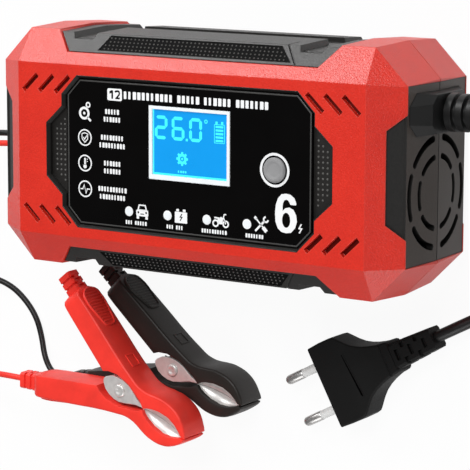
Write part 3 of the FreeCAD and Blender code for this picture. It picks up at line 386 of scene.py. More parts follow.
def loft(rings, capped=True):
    """A skin through closed rings of equal counts."""
    count = len(rings[0])
    vertices = [p for ring in rings for p in ring]
    faces = []
    for i in range(len(rings) - 1):
        for j in range(count):
            k = (j + 1) % count
            faces.append((i * count + j, i * count + k, (i + 1) * count + k, (i + 1) * count + j))
    if capped:
        faces.append(tuple(range(count))[::-1])
        last = (len(rings) - 1) * count
        faces.append(tuple(range(last, last + count)))
    return vertices, faces


def hoop(rings):
    """A skin through closed rings whose last one is joined to the first."""
    vertices, faces = loft(rings + rings[:1], capped=False)
    total = len(vertices) - len(rings[0])
    return vertices[:total], [tuple(i % total for i in face) for face in faces]


def merge(*parts):
    vertices, faces = [], []
    for some, others in parts:
        base = len(vertices)
        vertices += some
        faces += [tuple(i + base for i in face) for face in others]
    return vertices, faces


def catmull(points, steps):
    """Points on a smooth line through the given ones."""
    line = []
    ends = [points[0]] + list(points) + [points[-1]]
    for i in range(1, len(ends) - 2):
        p0, p1, p2, p3 = (Vector(p) for p in ends[i - 1:i + 3])
        for k in range(steps):
            t = k / steps
            line.append((2 * p1 + (p2 - p0) * t + (2 * p0 - 5 * p1 + 4 * p2 - p3) * t * t +
                         (3 * p1 - 3 * p2 + p3 - p0) * t ** 3) / 2)
    return line + [Vector(points[-1])]


def straight(points, steps):
    line = []
    for a, b in zip(points, points[1:]):
        line += [Vector(a).lerp(Vector(b), k / steps) for k in range(steps)]
    return line + [Vector(points[-1])]


def circle(x, y, radius, count=32):
    turns = [2 * math.pi * k / count for k in range(count)]
    return [(x + radius * math.cos(turn), y + radius * math.sin(turn)) for turn in turns]


def block(x0, x1, y0, y1, soft=0.3, steps=3):
    """Rectangle with rounded corners."""
    outline = []
    for i, (sx, sy) in enumerate(CORNERS):
        x, y = (x1 - soft if sx > 0 else x0 + soft), (y1 - soft if sy > 0 else y0 + soft)
        for k in range(steps + 1):
            turn = math.radians(90 * (i + k / steps))
            outline.append((x + soft * math.cos(turn), y + soft * math.sin(turn)))
    return outline


# Clips, in a frame of their own: u towards the jaws, v across the levers, n along the rivet

CLIP_HALF = 7.75
CREASES = {"cover": 50, "jaw": 35}
CLIPS = {"black": ((-39.4, -97.6, 7.75), -17.0, "black_plastic", "black_cover"),
         "red": ((-55.6, -105.5, 23.3), -26.0, "red_rubber", "red_rubber")}

# Outer and inner edge of the upper lever's cover, station by station from the tail.
COVER_EDGES = [
    ((-38.0, 27.7), (-42.2, 19.1)), ((-28.0, 23.3), (-31.6, 14.0)), ((-18.0, 18.8), (-20.9, 8.8)),
    ((-11.0, 15.5), (-12.6, 4.8)), ((-8.0, 14.1), (-10.2, 3.6)), ((-5.5, 13.0), (-7.9, 5.1)),
    ((-2.0, 11.5), (-3.6, 6.2)), ((3.5, 9.4), (3.2, 5.6)), ((7.5, 8.0), (7.5, 3.9)),
    ((11.5, 7.7), (11.5, 2.2)), ((14.2, 8.1), (14.2, 0.35)), ((15.5, 8.4), (15.6, 1.5)),
    ((17.8, 9.0), (17.8, 2.6)), ((21.5, 9.6), (21.5, 3.7)), ((26.5, 9.3), (26.5, 4.0)),
    ((30.6, 7.9), (30.6, 3.0)), ((33.3, 6.0), (33.4, 1.5)), ((35.0, 4.3), (35.0, 0.35)),
    ((36.5, 2.4), (36.2, 0.35)), ((37.2, 0.9), (36.9, 0.35))]
COVER_ROUND, TAIL_ROUND = 1.1, 4.6
TAIL_WAY = Vector((-0.912, 0.411))

# Half of the thumb pad's outline: distance from the tail, half width.
PAD_OUTLINE = [
    (1.0, 0.6), (1.4, 2.4), (2.6, 4.3), (4.6, 5.7), (7.0, 6.2), (9.5, 6.2), (12.5, 5.6),
    (16.0, 4.75), (19.0, 4.0), (20.2, 3.0), (20.5, 0.6)]
PAD_ORIGIN = Vector((-38.0, 27.7))
PAD_WAY = Vector((0.912, -0.41)).normalized()
PAD_UP = Vector((0.41, 0.912)).normalized()
PAD_MIDDLE = Vector((9.5, 0.0))
PAD_RIM = ((0.0, -0.6), (0.0, 0.55), (0.25, 0.95), (0.6, 1.05), (0.95, 0.9), (1.15, 0.6))
RIDGE_FIRST, RIDGE_PITCH, RIDGE_COUNT = 2.6, 1.4, 12

# The boot beyond the tail.
BOOT_ROOT = Vector((-40.1, 23.4))
BOOT_WAY = TAIL_WAY.normalized()
BOOT_SIDE = Vector((0.411, 0.912)).normalized()
BOOT_CUTS = (-0.78, -0.42, -0.40, 0.0, 0.40, 0.42, 0.78)

EAR_OUTLINE = [
    (-9.3, 0.25), (-8.8, 1.5), (-6.6, 3.5), (-4.0, 4.5), (-1.0, 4.9), (1.8, 4.7), (4.5, 3.9),
    (7.2, 2.6), (9.6, 1.4), (12.5, 0.75), (14.4, 0.5), (14.4, 0.15), (9.5, -0.9), (4.5, -3.5),
    (1.8, -4.6), (-1.0, -4.9), (-4.0, -4.4), (-6.6, -3.3), (-8.8, -1.2)]
EAR_THICK = 0.9
# The eye between the jaws: place along u, and half height of the spoon there.
SPOON = [
    (13.6, 0.25), (15.6, 1.7), (17.8, 2.9), (20.0, 3.75), (22.5, 4.25), (25.0, 4.4), (27.5, 4.2),
    (30.0, 3.55), (32.0, 2.65), (33.6, 1.6), (35.1, 0.3)]
SPOON_DEPTH, SPOON_GAP, SPOON_THICK = 2.6, 0.12, 0.8

RIVET_HEAD = ((1.0, 0.0), (1.0, 0.35), (0.93, 0.62), (0.8, 0.8), (0.62, 0.86), (0.5, 0.8),
              (0.36, 0.5), (0.2, 0.42), (0.05, 0.4))

MARK_ORIGIN = Vector((-3.2, 12.35))
MARK_WAY = Vector((0.925, -0.38)).normalized()
MARK_LINE = ((2.9, -0.9), (2.9, 0.18), (2.75, 0.26), (2.6, 0.26), (2.45, 0.18), (2.45, -0.9))


def flipped(part):
    """The same part on the other lever: mirrored across the clip's middle line."""
    vertices, faces = part
    return [(u, -v, n) for u, v, n in vertices], [face[::-1] for face in faces]


def cover_section(outer, inner, half):
    """Ring round the cover: a flat inner face, flat sides and rounded outer corners."""
    across = outer - inner
    thick = across.length
    across = across.normalized()
    soft = min(COVER_ROUND, 0.36 * thick, 0.5 * half)
    low = min(0.5, 0.2 * thick)
    side = [(low * 0.3, half - low * 0.3), (low, half)]
    side += [(low + (thick - soft - low) * share, half) for share in (0.33, 0.66)]
    for k in range(5):
        turn = math.radians(90 * k / 4)
        side.append((thick - soft + soft * math.sin(turn), half - soft + soft * math.cos(turn)))
    profile = [(0.0, half * share) for share in (-0.85, -0.3, 0.3, 0.85)] + side
    profile += [(thick + 0.25, (half - soft) * share) for share in (0.55, 0.0, -0.55)]
    profile += [(height, -n) for height, n in reversed(side)]
    return [(*(inner + across * height), n) for height, n in profile]


def cover_body():
    """The upper lever's cover, with a rounded tail."""
    outer = catmull([pair[0] for pair in COVER_EDGES], 3)
    inner = straight([pair[1] for pair in COVER_EDGES], 3)
    rings = []
    tail_out, tail_in = outer[0], inner[0]
    for k in range(5):
        back = TAIL_ROUND * (1 - math.sin(math.radians(90 * k / 5)))
        half = CLIP_HALF + TAIL_ROUND * (math.sin(math.acos(back / TAIL_ROUND)) - 1)
        lift = (tail_out - tail_in).normalized() * 0.5 * max(0.0, 1 - k / 2)
        shift = TAIL_WAY * (TAIL_ROUND - back)
        rings.append(cover_section(tail_out - shift - lift, tail_in - shift + lift, half))
    for o, i in zip(outer, inner):
        if (o - tail_out).dot(-TAIL_WAY) > TAIL_ROUND + 0.3:
            rings.append(cover_section(o, i, CLIP_HALF))
    return loft(rings)


def on_pad(distance, n, height):
    return (*(PAD_ORIGIN + PAD_WAY * distance + PAD_UP * height), n)


def pad_half_width(distance):
    for (d0, w0), (d1, w1) in zip(PAD_OUTLINE, PAD_OUTLINE[1:]):
        if d0 <= distance <= d1:
            return w0 + (w1 - w0) * (distance - d0) / (d1 - d0)
    return 0.0


def pad_field():
    """The raised thumb pad: a rounded rim round a field of cross ridges."""
    rings = []
    outline = PAD_OUTLINE + [(d, -w) for d, w in reversed(PAD_OUTLINE)]
    for inset, height in PAD_RIM:
        ring = []
        for d, w in outline:
            inward = PAD_MIDDLE - Vector((d, w))
            inward = Vector((inward.x * 0.55, inward.y)).normalized() * inset
            ring.append(on_pad(d + inward.x, w + inward.y, height))
        rings.append(ring)
    parts = [loft(rings)]
    for i in range(RIDGE_COUNT):
        centre = RIDGE_FIRST + RIDGE_PITCH * i
        half = min(pad_half_width(centre - 0.3), pad_half_width(centre + 0.3)) - 1.2
        bar = []
        for n, crest in ((-half, 0.7), (0.25 - half, 0.92), (half - 0.25, 0.92), (half, 0.7)):
            bar.append([on_pad(centre + step, n, height)
                        for step, height in ((-0.5, 0.5), (-0.2, crest), (0.2, crest), (0.5, 0.5))])
        if half >= 0.6:
            parts.append(loft(bar))
    return merge(*parts)


def notched_boot(ends, half, place, mid_notches, side_notches, notch, sink):
    """Square flexible boot: notches in the middle of two faces and others round its corners.

    ends gives the first and the last distance, half(distance) the size there, and
    place(distance, across, up) the point.
    """
    steps = set(ends)
    for centre in mid_notches + side_notches:
        steps |= {centre + sign * notch / 2 + step for sign in (-1, 1) for step in (-0.08, 0.08)}
    rings = []
    for s in sorted(steps):
        w = half(s)
        mid = any(abs(s - c) < notch / 2 for c in mid_notches)
        side = any(abs(s - c) < notch / 2 for c in side_notches)
        ring = []
        for face in range(4):
            for t in BOOT_CUTS:
                broad, corner = face in (0, 2), abs(t) > 0.41
                across, up = (t * w, w) if broad else (w, -t * w)
                if side and not broad:
                    across = w - sink
                elif side and corner:
                    across, up = across * (1 - sink / w * 0.75), up - sink
                elif mid and broad and not corner:
                    up -= sink
                sign = -1 if face >= 2 else 1
                ring.append(place(s, sign * across, sign * up))
        rings.append(ring)
    return loft(rings)


def boot():
    def place(s, across, up):
        return (*(BOOT_ROOT + BOOT_WAY * s + BOOT_SIDE * up), across)

    return notched_boot((-1.2, 8.9), lambda s: 3.65 - 0.02 * s, place, (1.3, 4.5), (2.9, 6.1),
                        notch=0.9, sink=0.75)


def plate(outline, low, high, edge=0.15):
    """Flat plate in the u-v plane with softened rims."""
    middle = sum((Vector(p) for p in outline), Vector((0, 0))) / len(outline)
    rings = []
    for n, inset in ((low, edge), (low + edge, 0), (high - edge, 0), (high, edge)):
        rings.append([(*(Vector(p) + (middle - Vector(p)).normalized() * inset), n)
                      for p in outline])
    return loft(rings)


def spoon(side):
    """Half of the hollowed steel jaw, seen in the eye, on the clip's face side (1 or -1)."""
    rings = []
    top = CLIP_HALF - 1.5
    for p in catmull(SPOON, 3):
        share = (p.x - SPOON[0][0]) / (SPOON[-1][0] - SPOON[0][0])
        bowl = SPOON_DEPTH * math.sin(math.pi * min(max(share, 0.0), 1.0)) ** 0.7
        ring = []
        for sink, order in ((0, range(9)), (SPOON_THICK, range(8, -1, -1))):
            for w in (k / 8 for k in order):
                n = top - bowl * (1 - w ** 2.2) - sink
                ring.append((p.x, SPOON_GAP + (p.y - SPOON_GAP) * w, side * n))
        rings.append(ring)
    return loft(rings)


def jaw(ear_face):
    """A lever's steel: on each side of the clip an ear round the rivet and a spoon in the eye."""
    parts = []
    for side in (1, -1):
        low, high = sorted((side * (ear_face - EAR_THICK), side * ear_face))
        parts += [plate(EAR_OUTLINE, low, high), spoon(side)]
    return merge(*parts)


def rivet():
    """The rivet's pin with two heads, each with a rounded rim and a shallow dimple."""
    parts = [loft([[(*p, n) for p in circle(0, 0, 1.85, 20)] for n in (-6.4, 6.4)])]
    for side in (1, -1):
        parts.append(loft([[(*p, side * (6.2 + height)) for p in circle(0, 0, 2.75 * reach, 28)]
                           for reach, height in RIVET_HEAD]))
    return merge(*parts)


def square_mark():
    """A raised square line on the handle's back, near the pivot."""
    up = Vector((-MARK_WAY.y, MARK_WAY.x))
    rings = []
    for reach, height in MARK_LINE:
        foot = MARK_ORIGIN + up * height
        rings.append([(*(foot + MARK_WAY * (s * reach)), n * reach) for s, n in CORNERS])
    return hoop(rings)


def make_clip(colour, pivot, heading, slot, cover_look):
    """One clip; returns the pieces at the end of the handle that carries the wire."""
    place = Matrix.Translation(pivot) @ Matrix.Rotation(math.radians(heading), 4, "Z")
    clip = colour + "_clip_"
    handle_end = []
    for level, body, ear_face in (("upper", clip + "lever", 6.2), ("lower", ROOT, 5.2)):
        parts = {"cover": cover_body(), "pad": pad_field(), "boot": boot(), "mark": square_mark(),
                 "jaw": jaw(ear_face)}
        for kind, part in parts.items():
            name = clip + level + "_" + kind
            part = flipped(part) if level == "lower" else part
            finish = ("plated_steel", "plated_steel") if kind == "jaw" else (slot, cover_look)
            obj = new_mesh(name + "_shape", part, body, *finish, CREASES.get(kind, 40), place)
            if kind in ("cover", "jaw"):
                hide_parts(name)
            elif level == "lower" and kind != "mark":
                handle_end.append(obj)
    obj = new_mesh(clip + "rivet_shape", rivet(), ROOT, "plated_steel", "plated_steel", place=place)
    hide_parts(clip + "rivet")
    return handle_end


handle_ends = {colour: make_clip(colour, *facts) for colour, facts in CLIPS.items()}


# Plug, in a frame of its own: u towards the pins, v across, n up

PLUG_FACE, PLUG_HEADING, PLUG_HALF = (34.6, -95.8), -151.5, 6.85
# Place along u and half width, from the face to the boot.
PLUG_SIDE = [
    (-6.0, 17.62), (-11.5, 17.55), (-13.3, 17.2), (-14.4, 16.2), (-17.5, 13.05), (-20.0, 11.0),
    (-23.1, 9.35), (-26.2, 8.2), (-29.6, 7.3), (-30.9, 7.05), (-31.15, 6.6), (-31.6, 6.6),
    (-31.85, 6.95), (-34.2, 6.7), (-34.9, 6.3)]
PLUG_TAPER_FROM, PLUG_TAPER_RUN, PLUG_THIN_HALF = -19.5, 11.0, 5.9
PIN_PLACES = (-9.3, 9.3)
SLEEVE_PROFILE = ((-0.4, 2.0), (0.0, 2.02), (0.5, 1.98), (6.0, 1.9), (9.6, 1.86), (10.0, 1.78))
PIN_PROFILE = ((9.5, 1.7), (10.0, 1.9), (10.1, 1.98), (17.2, 1.98), (18.1, 1.8), (18.7, 1.35),
               (19.0, 0.7), (19.05, 0.15))


def plug_shell():
    """The plug's body: rounded sections that narrow towards the boot."""
    sections = [(0.0, 16.75, 5.95, 0.9), (-0.25, 17.3, 6.5, 1.0)]
    for u, half in PLUG_SIDE:
        thinner = min(max(PLUG_TAPER_FROM - u, 0) / PLUG_TAPER_RUN, 1.0)
        neck = 0.35 if -31.7 < u < -31.0 else 0.0
        sections.append((u, half, PLUG_HALF - (PLUG_HALF - PLUG_THIN_HALF) * thinner - neck, 1.1))
    sections.append((-35.4, 5.5, 5.0, 1.2))
    return loft([[(u, v, n) for v, n in block(-half, half, -tall, tall, soft, 4)]
                 for u, half, tall, soft in sections])


def plug_boot():
    return notched_boot((34.5, 54.5), lambda s: 5.55 - (s - 34.5) / 20.0 * 1.05,
                        lambda s, across, up: (-s, across, up), (37.6, 44.1, 50.7), (41.0, 47.5),
                        notch=1.5, sink=1.25)


def plug_line(rise, behind, width, reach):
    """A slanting line across both faces, between the pins' end and the waist."""
    parts = []
    for sign in (1, -1):
        rings = []
        for v, share in ((-reach, 0.3), (reach * 0.92, 1.0), (reach, 0.3)):
            u, wide = behind - 1.6 * (v + reach) / (2 * reach), width * share
            low, high = sign * (PLUG_HALF - 0.1), sign * (PLUG_HALF + rise)
            a, b = u - wide, u + wide
            rings.append([(a, v, low), (a, v, high), (b, v, high), (b, v, low)])
        parts.append(loft(rings))
    return merge(*parts)


def lathe(profile, v):
    """Round piece along u from (u, radius) pairs."""
    return loft([[(u, y, n) for y, n in circle(v, 0, radius, 28)] for u, radius in profile])


def make_plug():
    """The plug; returns all its pieces."""
    place = (Matrix.Translation((*PLUG_FACE, PLUG_HALF)) @
             Matrix.Rotation(math.radians(PLUG_HEADING), 4, "Z"))
    sleeves, pins = (merge(*[lathe(profile, v) for v in PIN_PLACES])
                     for profile in (SLEEVE_PROFILE, PIN_PROFILE))
    # The first line is a near-black strip standing on the faces, painted shade of a groove; the
    # second is a real raised ridge.
    groove_shade, ridge = plug_line(0.04, -14.3, 0.42, 9.4), plug_line(0.15, -15.0, 0.22, 9.8)
    made = []
    for name, part, slot, look, crease, replaced in (
            ("plug_shell", plug_shell(), "black_rubber", "plug_black", 30, "plug_body"),
            ("plug_boot", plug_boot(), "black_rubber", "plug_black", 30, None),
            ("plug_groove", groove_shade, "black_rubber", "groove_black", 30, None),
            ("plug_ridge", ridge, "black_rubber", "plug_black", 30, None),
            ("plug_sleeves", sleeves, "grey_plastic", "sleeve_grey", 50, "pin_sleeves"),
            ("plug_contacts", pins, "plated_steel", "pin_steel", 50, "plug_pins")):
        made.append(new_mesh(name, part, ROOT, slot, look, crease, place))
        if replaced:
            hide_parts(replaced)
    return made


plug_pieces = make_plug()


metres(MAINS_ROUTE[0])
metres(BLACK_ROUTE[0])
metres(RED_ROUTE[0])
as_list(handle_ends["red"])


# Flat shapes for prints, digits and signs: each is an outline and the holes in it

def spread(outline, distance):
    """The outline moved outwards by distance, with mitred corners."""
    points = [Vector(p) for p in outline]
    turns = sum(a.x * b.y - b.x * a.y for a, b in zip(points, points[1:] + points[:1]))
    if turns < 0:
        distance = -distance
    wider = []
    for i, p in enumerate(points):
        a = (p - points[i - 1]).normalized()
        b = (points[(i + 1) % len(points)] - p).normalized()
        ways = Vector((a.y + b.y, -a.x - b.x))
        wider.append(tuple(p + ways * (distance / max(1 + a.dot(b), 0.4))))
    return wider


def stroke(points, width):
    """Outline of a line of even width through the points."""
    points = [Vector(p) for p in points]
    left, right = [], []
    for i, p in enumerate(points):
        a = (p - points[i - 1]).normalized() if i else (points[1] - p).normalized()
        b = (points[i + 1] - p).normalized() if i + 1 < len(points) else a
        side = Vector((-a.y - b.y, a.x + b.x)) * (width / 2 / max(1 + a.dot(b), 0.35))
        left.append(tuple(p + side))
        right.append(tuple(p - side))
    return left + right[::-1]


def moved(shapes, x, y):
    return [[[(px + x, py + y) for px, py in loop] for loop in loops] for loops in shapes]


def flat(loops, low, high):
    """The shape as a part between two heights."""
    outline = [p for loop in loops for p in loop]
    count = len(outline)
    corners = [[Vector((x, y, 0)) for x, y in loop] for loop in loops]
    faces = []
    for triangle in tessellate_polygon(corners):
        faces += [tuple(triangle), tuple(i + count for i in triangle)]
    start = 0
    for loop in loops:
        for i in range(len(loop)):
            j = (i + 1) % len(loop)
            faces.append((start + i, start + j, start + j + count, start + i + count))
        start += len(loop)
    return [(x, y, low) for x, y in outline] + [(x, y, high) for x, y in outline], faces


LABEL_TOP, SCREEN_TOP = 61.9, 61.5
PRINT, PRINT_SINK = 0.05, 0.03


def printed(name, shapes, on=LABEL_TOP, slot="white_plastic", look="white_print", thick=PRINT):
    """A piece of flat shapes that stands thick above the height on."""
    part = merge(*[flat(loops, on - PRINT_SINK, on + thick) for loops in shapes])
    new_mesh(name, part, ROOT, slot, look, crease=0)


# The control panel

LABEL_CORNERS = [(51.06, 29.35), (57.4, 22.82)]
# The lining of the opening's slope: how far outside the opening, and the height.
FRAME_EDGE = ((-0.12, 60.7), (-0.12, 61.85), (0.7, 63.25), (0.95, 63.27), (1.02, 63.2),
              (1.02, 62.9), (0.3, 60.7))
RIM_LINE = ((0.0, 0.3), (0.2, 0.8), (0.5, 1.0), (0.8, 0.8), (1.0, 0.3))

ICON_X, ICON_ROWS = -48.6, (16.2, 5.8, -4.5, -14.9)
ICON_RING = [circle(0, 0, 3.4), circle(0, 0, 2.85)]
CAPTION_X, CAPTIONS = -35.2, ((5, 6), (8, 9), (6, 6), (10, 9))
LIGHTS_X, LIGHTS_Y = (-27.1, -8.6, 9.9, 28.4), -22.1
LIGHT_CAPTIONS = ((3, 5), (3, 3), (10,), (7,))
BUTTON_X, BUTTON_Y = 40.8, -0.2

FIGURE_X, FIGURE_Y, FIGURE_WIDTH, FIGURE_HEIGHT = 41.1, -24.0, 9.8, 15.2
SIX = [
    (0.958, 0.788), (0.875, 0.906), (0.708, 0.981), (0.5, 1.0), (0.29, 0.976), (0.125, 0.859),
    (0.033, 0.694), (0.0, 0.482), (0.02, 0.27), (0.125, 0.106), (0.29, 0.024), (0.5, 0.0),
    (0.73, 0.024), (0.917, 0.153), (1.0, 0.318), (0.958, 0.482), (0.833, 0.612), (0.646, 0.659),
    (0.479, 0.635), (0.345, 0.56), (0.345, 0.66), (0.36, 0.75), (0.41, 0.82), (0.5, 0.85),
    (0.6, 0.83), (0.66, 0.78), (0.69, 0.729), (0.958, 0.729)]

# The screen's digits with the places of their left edges.
DIGITS = (("2", -14.8), ("6", -6.8), ("0", 1.4))
DIGIT_Y, DIGIT_WIDTH, DIGIT_HEIGHT, DIGIT_LINE = 7.8, 6.0, 9.3, 1.3
SEGMENTS = {"2": "abged", "6": "afgcde", "0": "abcdef"}
GEAR_X, GEAR_Y, GEAR_TEETH = -1.9, 0.7, 8
SCREEN_EDGE = [[block(-15.65, -15.15, -6.25, 19.45, 0.1)], [block(-15.15, 19.15, -6.25, -5.5, 0.1)]]

SLOT_STARTS, SLOT_WIDTH, SLOT_DEPTH = (62.4, 70.35, 78.3), 1.9, 1.9
# The columns of dots: place, and rows above and below the middle.
EAR_COLUMNS = ((59.4, 6), (61.4, 5), (63.4, 4))
EAR_PITCH, EAR_TOP = 2.06, 60.6


def bars(x, y, height, groups, pitch):
    """A row of plain blocks, in groups of the given counts."""
    shapes = []
    for count in groups:
        for k in range(count):
            width = pitch * (0.7, 0.58, 0.74, 0.64, 0.5)[(k * 3 + count) % 5]
            soft = min(0.25, width * 0.3)
            shapes.append([block(x, x + width, y - height / 2, y + height / 2, soft)])
            x += pitch
        x += pitch * 0.75
    return shapes


def centred(x, y, height, groups, pitch):
    length = pitch * (sum(groups) + 0.75 * (len(groups) - 1)) - 0.35 * pitch
    return bars(x - length / 2, y, height, groups, pitch)


def title_figures():
    one = [(-36.3, 25.1), (-35.4, 25.6), (-34.6, 25.6), (-34.6, 22.2), (-35.4, 22.2),
           (-35.4, 24.5), (-36.3, 24.1)]
    two = stroke([(-33.5, 24.8), (-33.2, 25.25), (-32.5, 25.4), (-31.7, 25.2), (-31.5, 24.5),
                  (-31.8, 23.8), (-33.0, 22.55), (-31.3, 22.55)], 0.7)
    return [[one], [two]]


def icon_lens():
    return [[circle(-0.2, -0.6, 2.6), circle(-0.2, -0.6, 1.6)],
            [circle(1.7, 2.8, 1.2, 20), circle(1.7, 2.8, 0.6, 20)],
            [stroke([(1.3, -2.1), (3.0, -3.6)], 0.9)], [circle(-0.2, -0.6, 0.6, 16)]]


def icon_check():
    shield = [(0, 2.15), (1.65, 1.55), (1.55, -0.6), (0, -2.2), (-1.55, -0.6), (-1.65, 1.55)]
    return [ICON_RING, [shield, spread(shield, -0.38)],
            [stroke([(-0.8, 0.1), (-0.15, -0.7), (0.95, 0.85)], 0.42)]]


def icon_heat():
    return [ICON_RING, [stroke([(0, 2.1), (0, -0.7)], 0.8)], [circle(0, -1.3, 0.85, 20)],
            [stroke([(0.8, 1.6), (1.35, 1.6)], 0.3)], [stroke([(0.8, 0.7), (1.35, 0.7)], 0.3)]]


def icon_pulse():
    wave = [(-2.4, -0.1), (-1.2, -0.1), (-0.5, 1.6), (0.4, -1.8), (1.0, 0.0), (2.4, 0.0)]
    return [ICON_RING, [stroke(wave, 0.45)]]


def sign_car():
    cabin = [(-2.35, 0.7), (-1.65, 2.9), (1.65, 2.9), (2.35, 0.7)]
    pane = [(-1.65, 0.95), (-1.2, 2.35), (1.2, 2.35), (1.65, 0.95)]
    return [[cabin, pane],
            [block(-2.9, 2.9, -1.8, 0.75, 0.5), circle(-1.9, -0.3, 0.45, 14),
             circle(1.9, -0.3, 0.45, 14), block(-0.9, 0.9, -1.1, -0.7, 0.1)],
            [block(-2.7, -1.5, -2.9, -1.75, 0.2)], [block(1.5, 2.7, -2.9, -1.75, 0.2)]]


def sign_battery():
    mark = stroke([(0.5, 0.9), (-0.4, -0.45), (0.5, -0.45), (-0.4, -1.9)], 0.42)
    return [[block(-2.9, 2.9, -2.8, 1.6, 0.25), mark], [block(-2.2, -0.9, 1.75, 2.7, 0.15)],
            [block(0.9, 2.2, 1.75, 2.7, 0.15)]]


def sign_cycle():
    wheels = [[circle(x, -1.3, 1.5, 24), circle(x, -1.3, 0.85, 24)] for x in (-2.3, 2.4)]
    body = [(-1.6, 0.3), (-0.6, -1.5), (0.8, -1.5), (1.3, 0.9), (0.1, 1.5), (-0.5, 0.7)]
    return wheels + [[body], [stroke([(2.4, -1.3), (1.3, 1.3), (1.7, 2.4), (2.6, 2.5)], 0.5)],
                     [stroke([(-2.9, 0.9), (-0.5, 0.8)], 0.6)]]


def sign_tools():
    turns = [math.radians(a) for a in range(95, 356, 26)]
    hook = [(2.2 + math.cos(turn), 2.2 + math.sin(turn)) for turn in turns]
    return [[stroke(*line)] for line in (
        ([(-2.6, -2.6), (1.5, 1.5)], 0.85), (hook, 0.7), ([(-2.3, 2.3), (0.9, -0.9)], 0.6),
        ([(0.9, -0.9), (2.5, -2.5)], 1.5), ([(-2.9, 2.9), (-2.1, 2.1)], 1.1))]


def big_six():
    hole = [(0.508 + 0.185 * x, 0.329 + 0.19 * y) for x, y in circle(0, 0, 1, 28)]
    return [[[(FIGURE_X + FIGURE_WIDTH * x, FIGURE_Y + FIGURE_HEIGHT * y) for x, y in loop]
             for loop in (SIX, hole)]]


def seven_segment(digit, x):
    """One digit from bars with pointed ends; x is its left edge."""
    inset = DIGIT_LINE / 2
    left, right = x + inset, x + DIGIT_WIDTH - inset
    low, high = DIGIT_Y + inset, DIGIT_Y + DIGIT_HEIGHT - inset
    middle = (low + high) / 2
    runs = {"a": (left, high, right, high), "b": (right, high, right, middle),
            "c": (right, middle, right, low), "d": (left, low, right, low),
            "e": (left, middle, left, low), "f": (left, high, left, middle),
            "g": (left, middle, right, middle)}
    shapes = []
    for key in SEGMENTS[digit]:
        x0, y0, x1, y1 = runs[key]
        way = Vector((x1 - x0, y1 - y0)).normalized()
        side = Vector((-way.y, way.x)) * inset
        a, b = Vector((x0, y0)) + way * 0.1, Vector((x1, y1)) - way * 0.1
        bar = (a, a + way * inset + side, b - way * inset + side, b, b - way * inset - side,
               a + way * inset - side)
        shapes.append([[tuple(p) for p in bar]])
    return shapes


def gear(outer, root, hole):
    outline = []
    for k in range(GEAR_TEETH):
        for share, reach in ((-0.32, root), (-0.2, outer), (0.2, outer), (0.32, root)):
            turn = 2 * math.pi * (k + share) / GEAR_TEETH
            outline.append((GEAR_X + reach * math.cos(turn), GEAR_Y + reach * math.sin(turn)))
    return [outline, circle(GEAR_X, GEAR_Y, hole, 20)]


def screen_reading():
    shapes = []
    for digit, x in DIGITS:
        shapes += seven_segment(digit, x)
    shapes.append([block(-0.2, 0.8, DIGIT_Y, DIGIT_Y + 1, 0.2)])
    shapes.append([circle(9.2, 16.1, 0.8, 20), circle(9.2, 16.1, 0.4, 20)])
    shapes += [[block(13.7, 17.2, 8.6 + 1.35 * k, 9.4 + 1.35 * k, 0.1)] for k in range(5)]
    shapes += [[block(x, x + 1, 15.4, 16.5, 0.2)] for x in (13.6, 16.2)]
    cell = block(13.0, 17.9, 8.0, 15.4, 0.3)
    shapes.append([cell, spread(cell, -0.25)])
    shapes += [gear(2.75, 2.1, 1.0), [circle(GEAR_X, GEAR_Y, 0.5, 16)]]
    return shapes + centred(GEAR_X, -4.4, 0.9, (4,), 1.1)


def panel_marks():
    shapes = []
    for y, icon in zip(ICON_ROWS, (icon_lens, icon_check, icon_heat, icon_pulse)):
        shapes += moved(icon(), ICON_X, y)
    for x, sign in zip(LIGHTS_X, (sign_car, sign_battery, sign_cycle, sign_tools)):
        shapes += moved(sign(), x + 6.4, LIGHTS_Y + 0.3)
    shapes.append([circle(BUTTON_X, BUTTON_Y, 6.6, 48), circle(BUTTON_X, BUTTON_Y, 5.6, 48)])
    return shapes + [[circle(x, LIGHTS_Y, 1.95, 28)] for x in LIGHTS_X]


def panel_captions():
    shapes = []
    for y, (upper, lower) in zip(ICON_ROWS, CAPTIONS):
        shapes += centred(CAPTION_X, y + 0.75, 2.0, (upper,), 1.42)
        shapes += centred(CAPTION_X, y - 2.35, 2.0, (lower,), 1.42)
    for x, groups in zip(LIGHTS_X, LIGHT_CAPTIONS):
        shapes += centred(x + 3.4, LIGHTS_Y - 4.4, 1.6, groups, 1.2)
    return shapes


def four_fold(quarter):
    """The whole outline from its corners in the first quarter, from the top clockwise."""
    half = quarter + [(x, -y) for x, y in reversed(quarter)]
    return half + [(-x, -y) for x, y in half]


def opening_outline(grow):
    """The outline of the panel's opening, larger by grow."""
    less = grow * 0.4
    return four_fold([(51.2 + less, 29.7 + grow), (58.2 + grow, 22.5 + less),
                      (58.2 + grow, 17.6 + less), (66.0 + grow, 10.4 + less)])


def rim(name, outer, inner, rise, look):
    """A rounded line standing on the label, between two outlines."""
    rings = []
    for share, height in RIM_LINE:
        rings.append([(x0 + (x1 - x0) * share, y0 + (y1 - y0) * share, LABEL_TOP + height * rise)
                      for (x0, y0), (x1, y1) in zip(outer, inner)])
    foot = LABEL_TOP - 0.05
    rings = [[(x, y, foot) for x, y in outer]] + rings + [[(x, y, foot) for x, y in inner]]
    new_mesh(name, hoop(rings), ROOT, "black_plastic", look)


def slot_shade_floors():
    """Dark red sheets on the floors of the three slots in each corner of the case's front: painted
    shade in the slots.
    """
    shapes = []
    for x in SLOT_STARTS:
        a, b = Vector((x, 23.3)), Vector((x - 7.0, 29.9))
        floor = stroke([a.lerp(b, 0.03), b.lerp(a, 0.03)], SLOT_WIDTH)
        shapes += [[[(sx * px, sy * py) for px, py in floor]] for sx, sy in CORNERS]
    return shapes


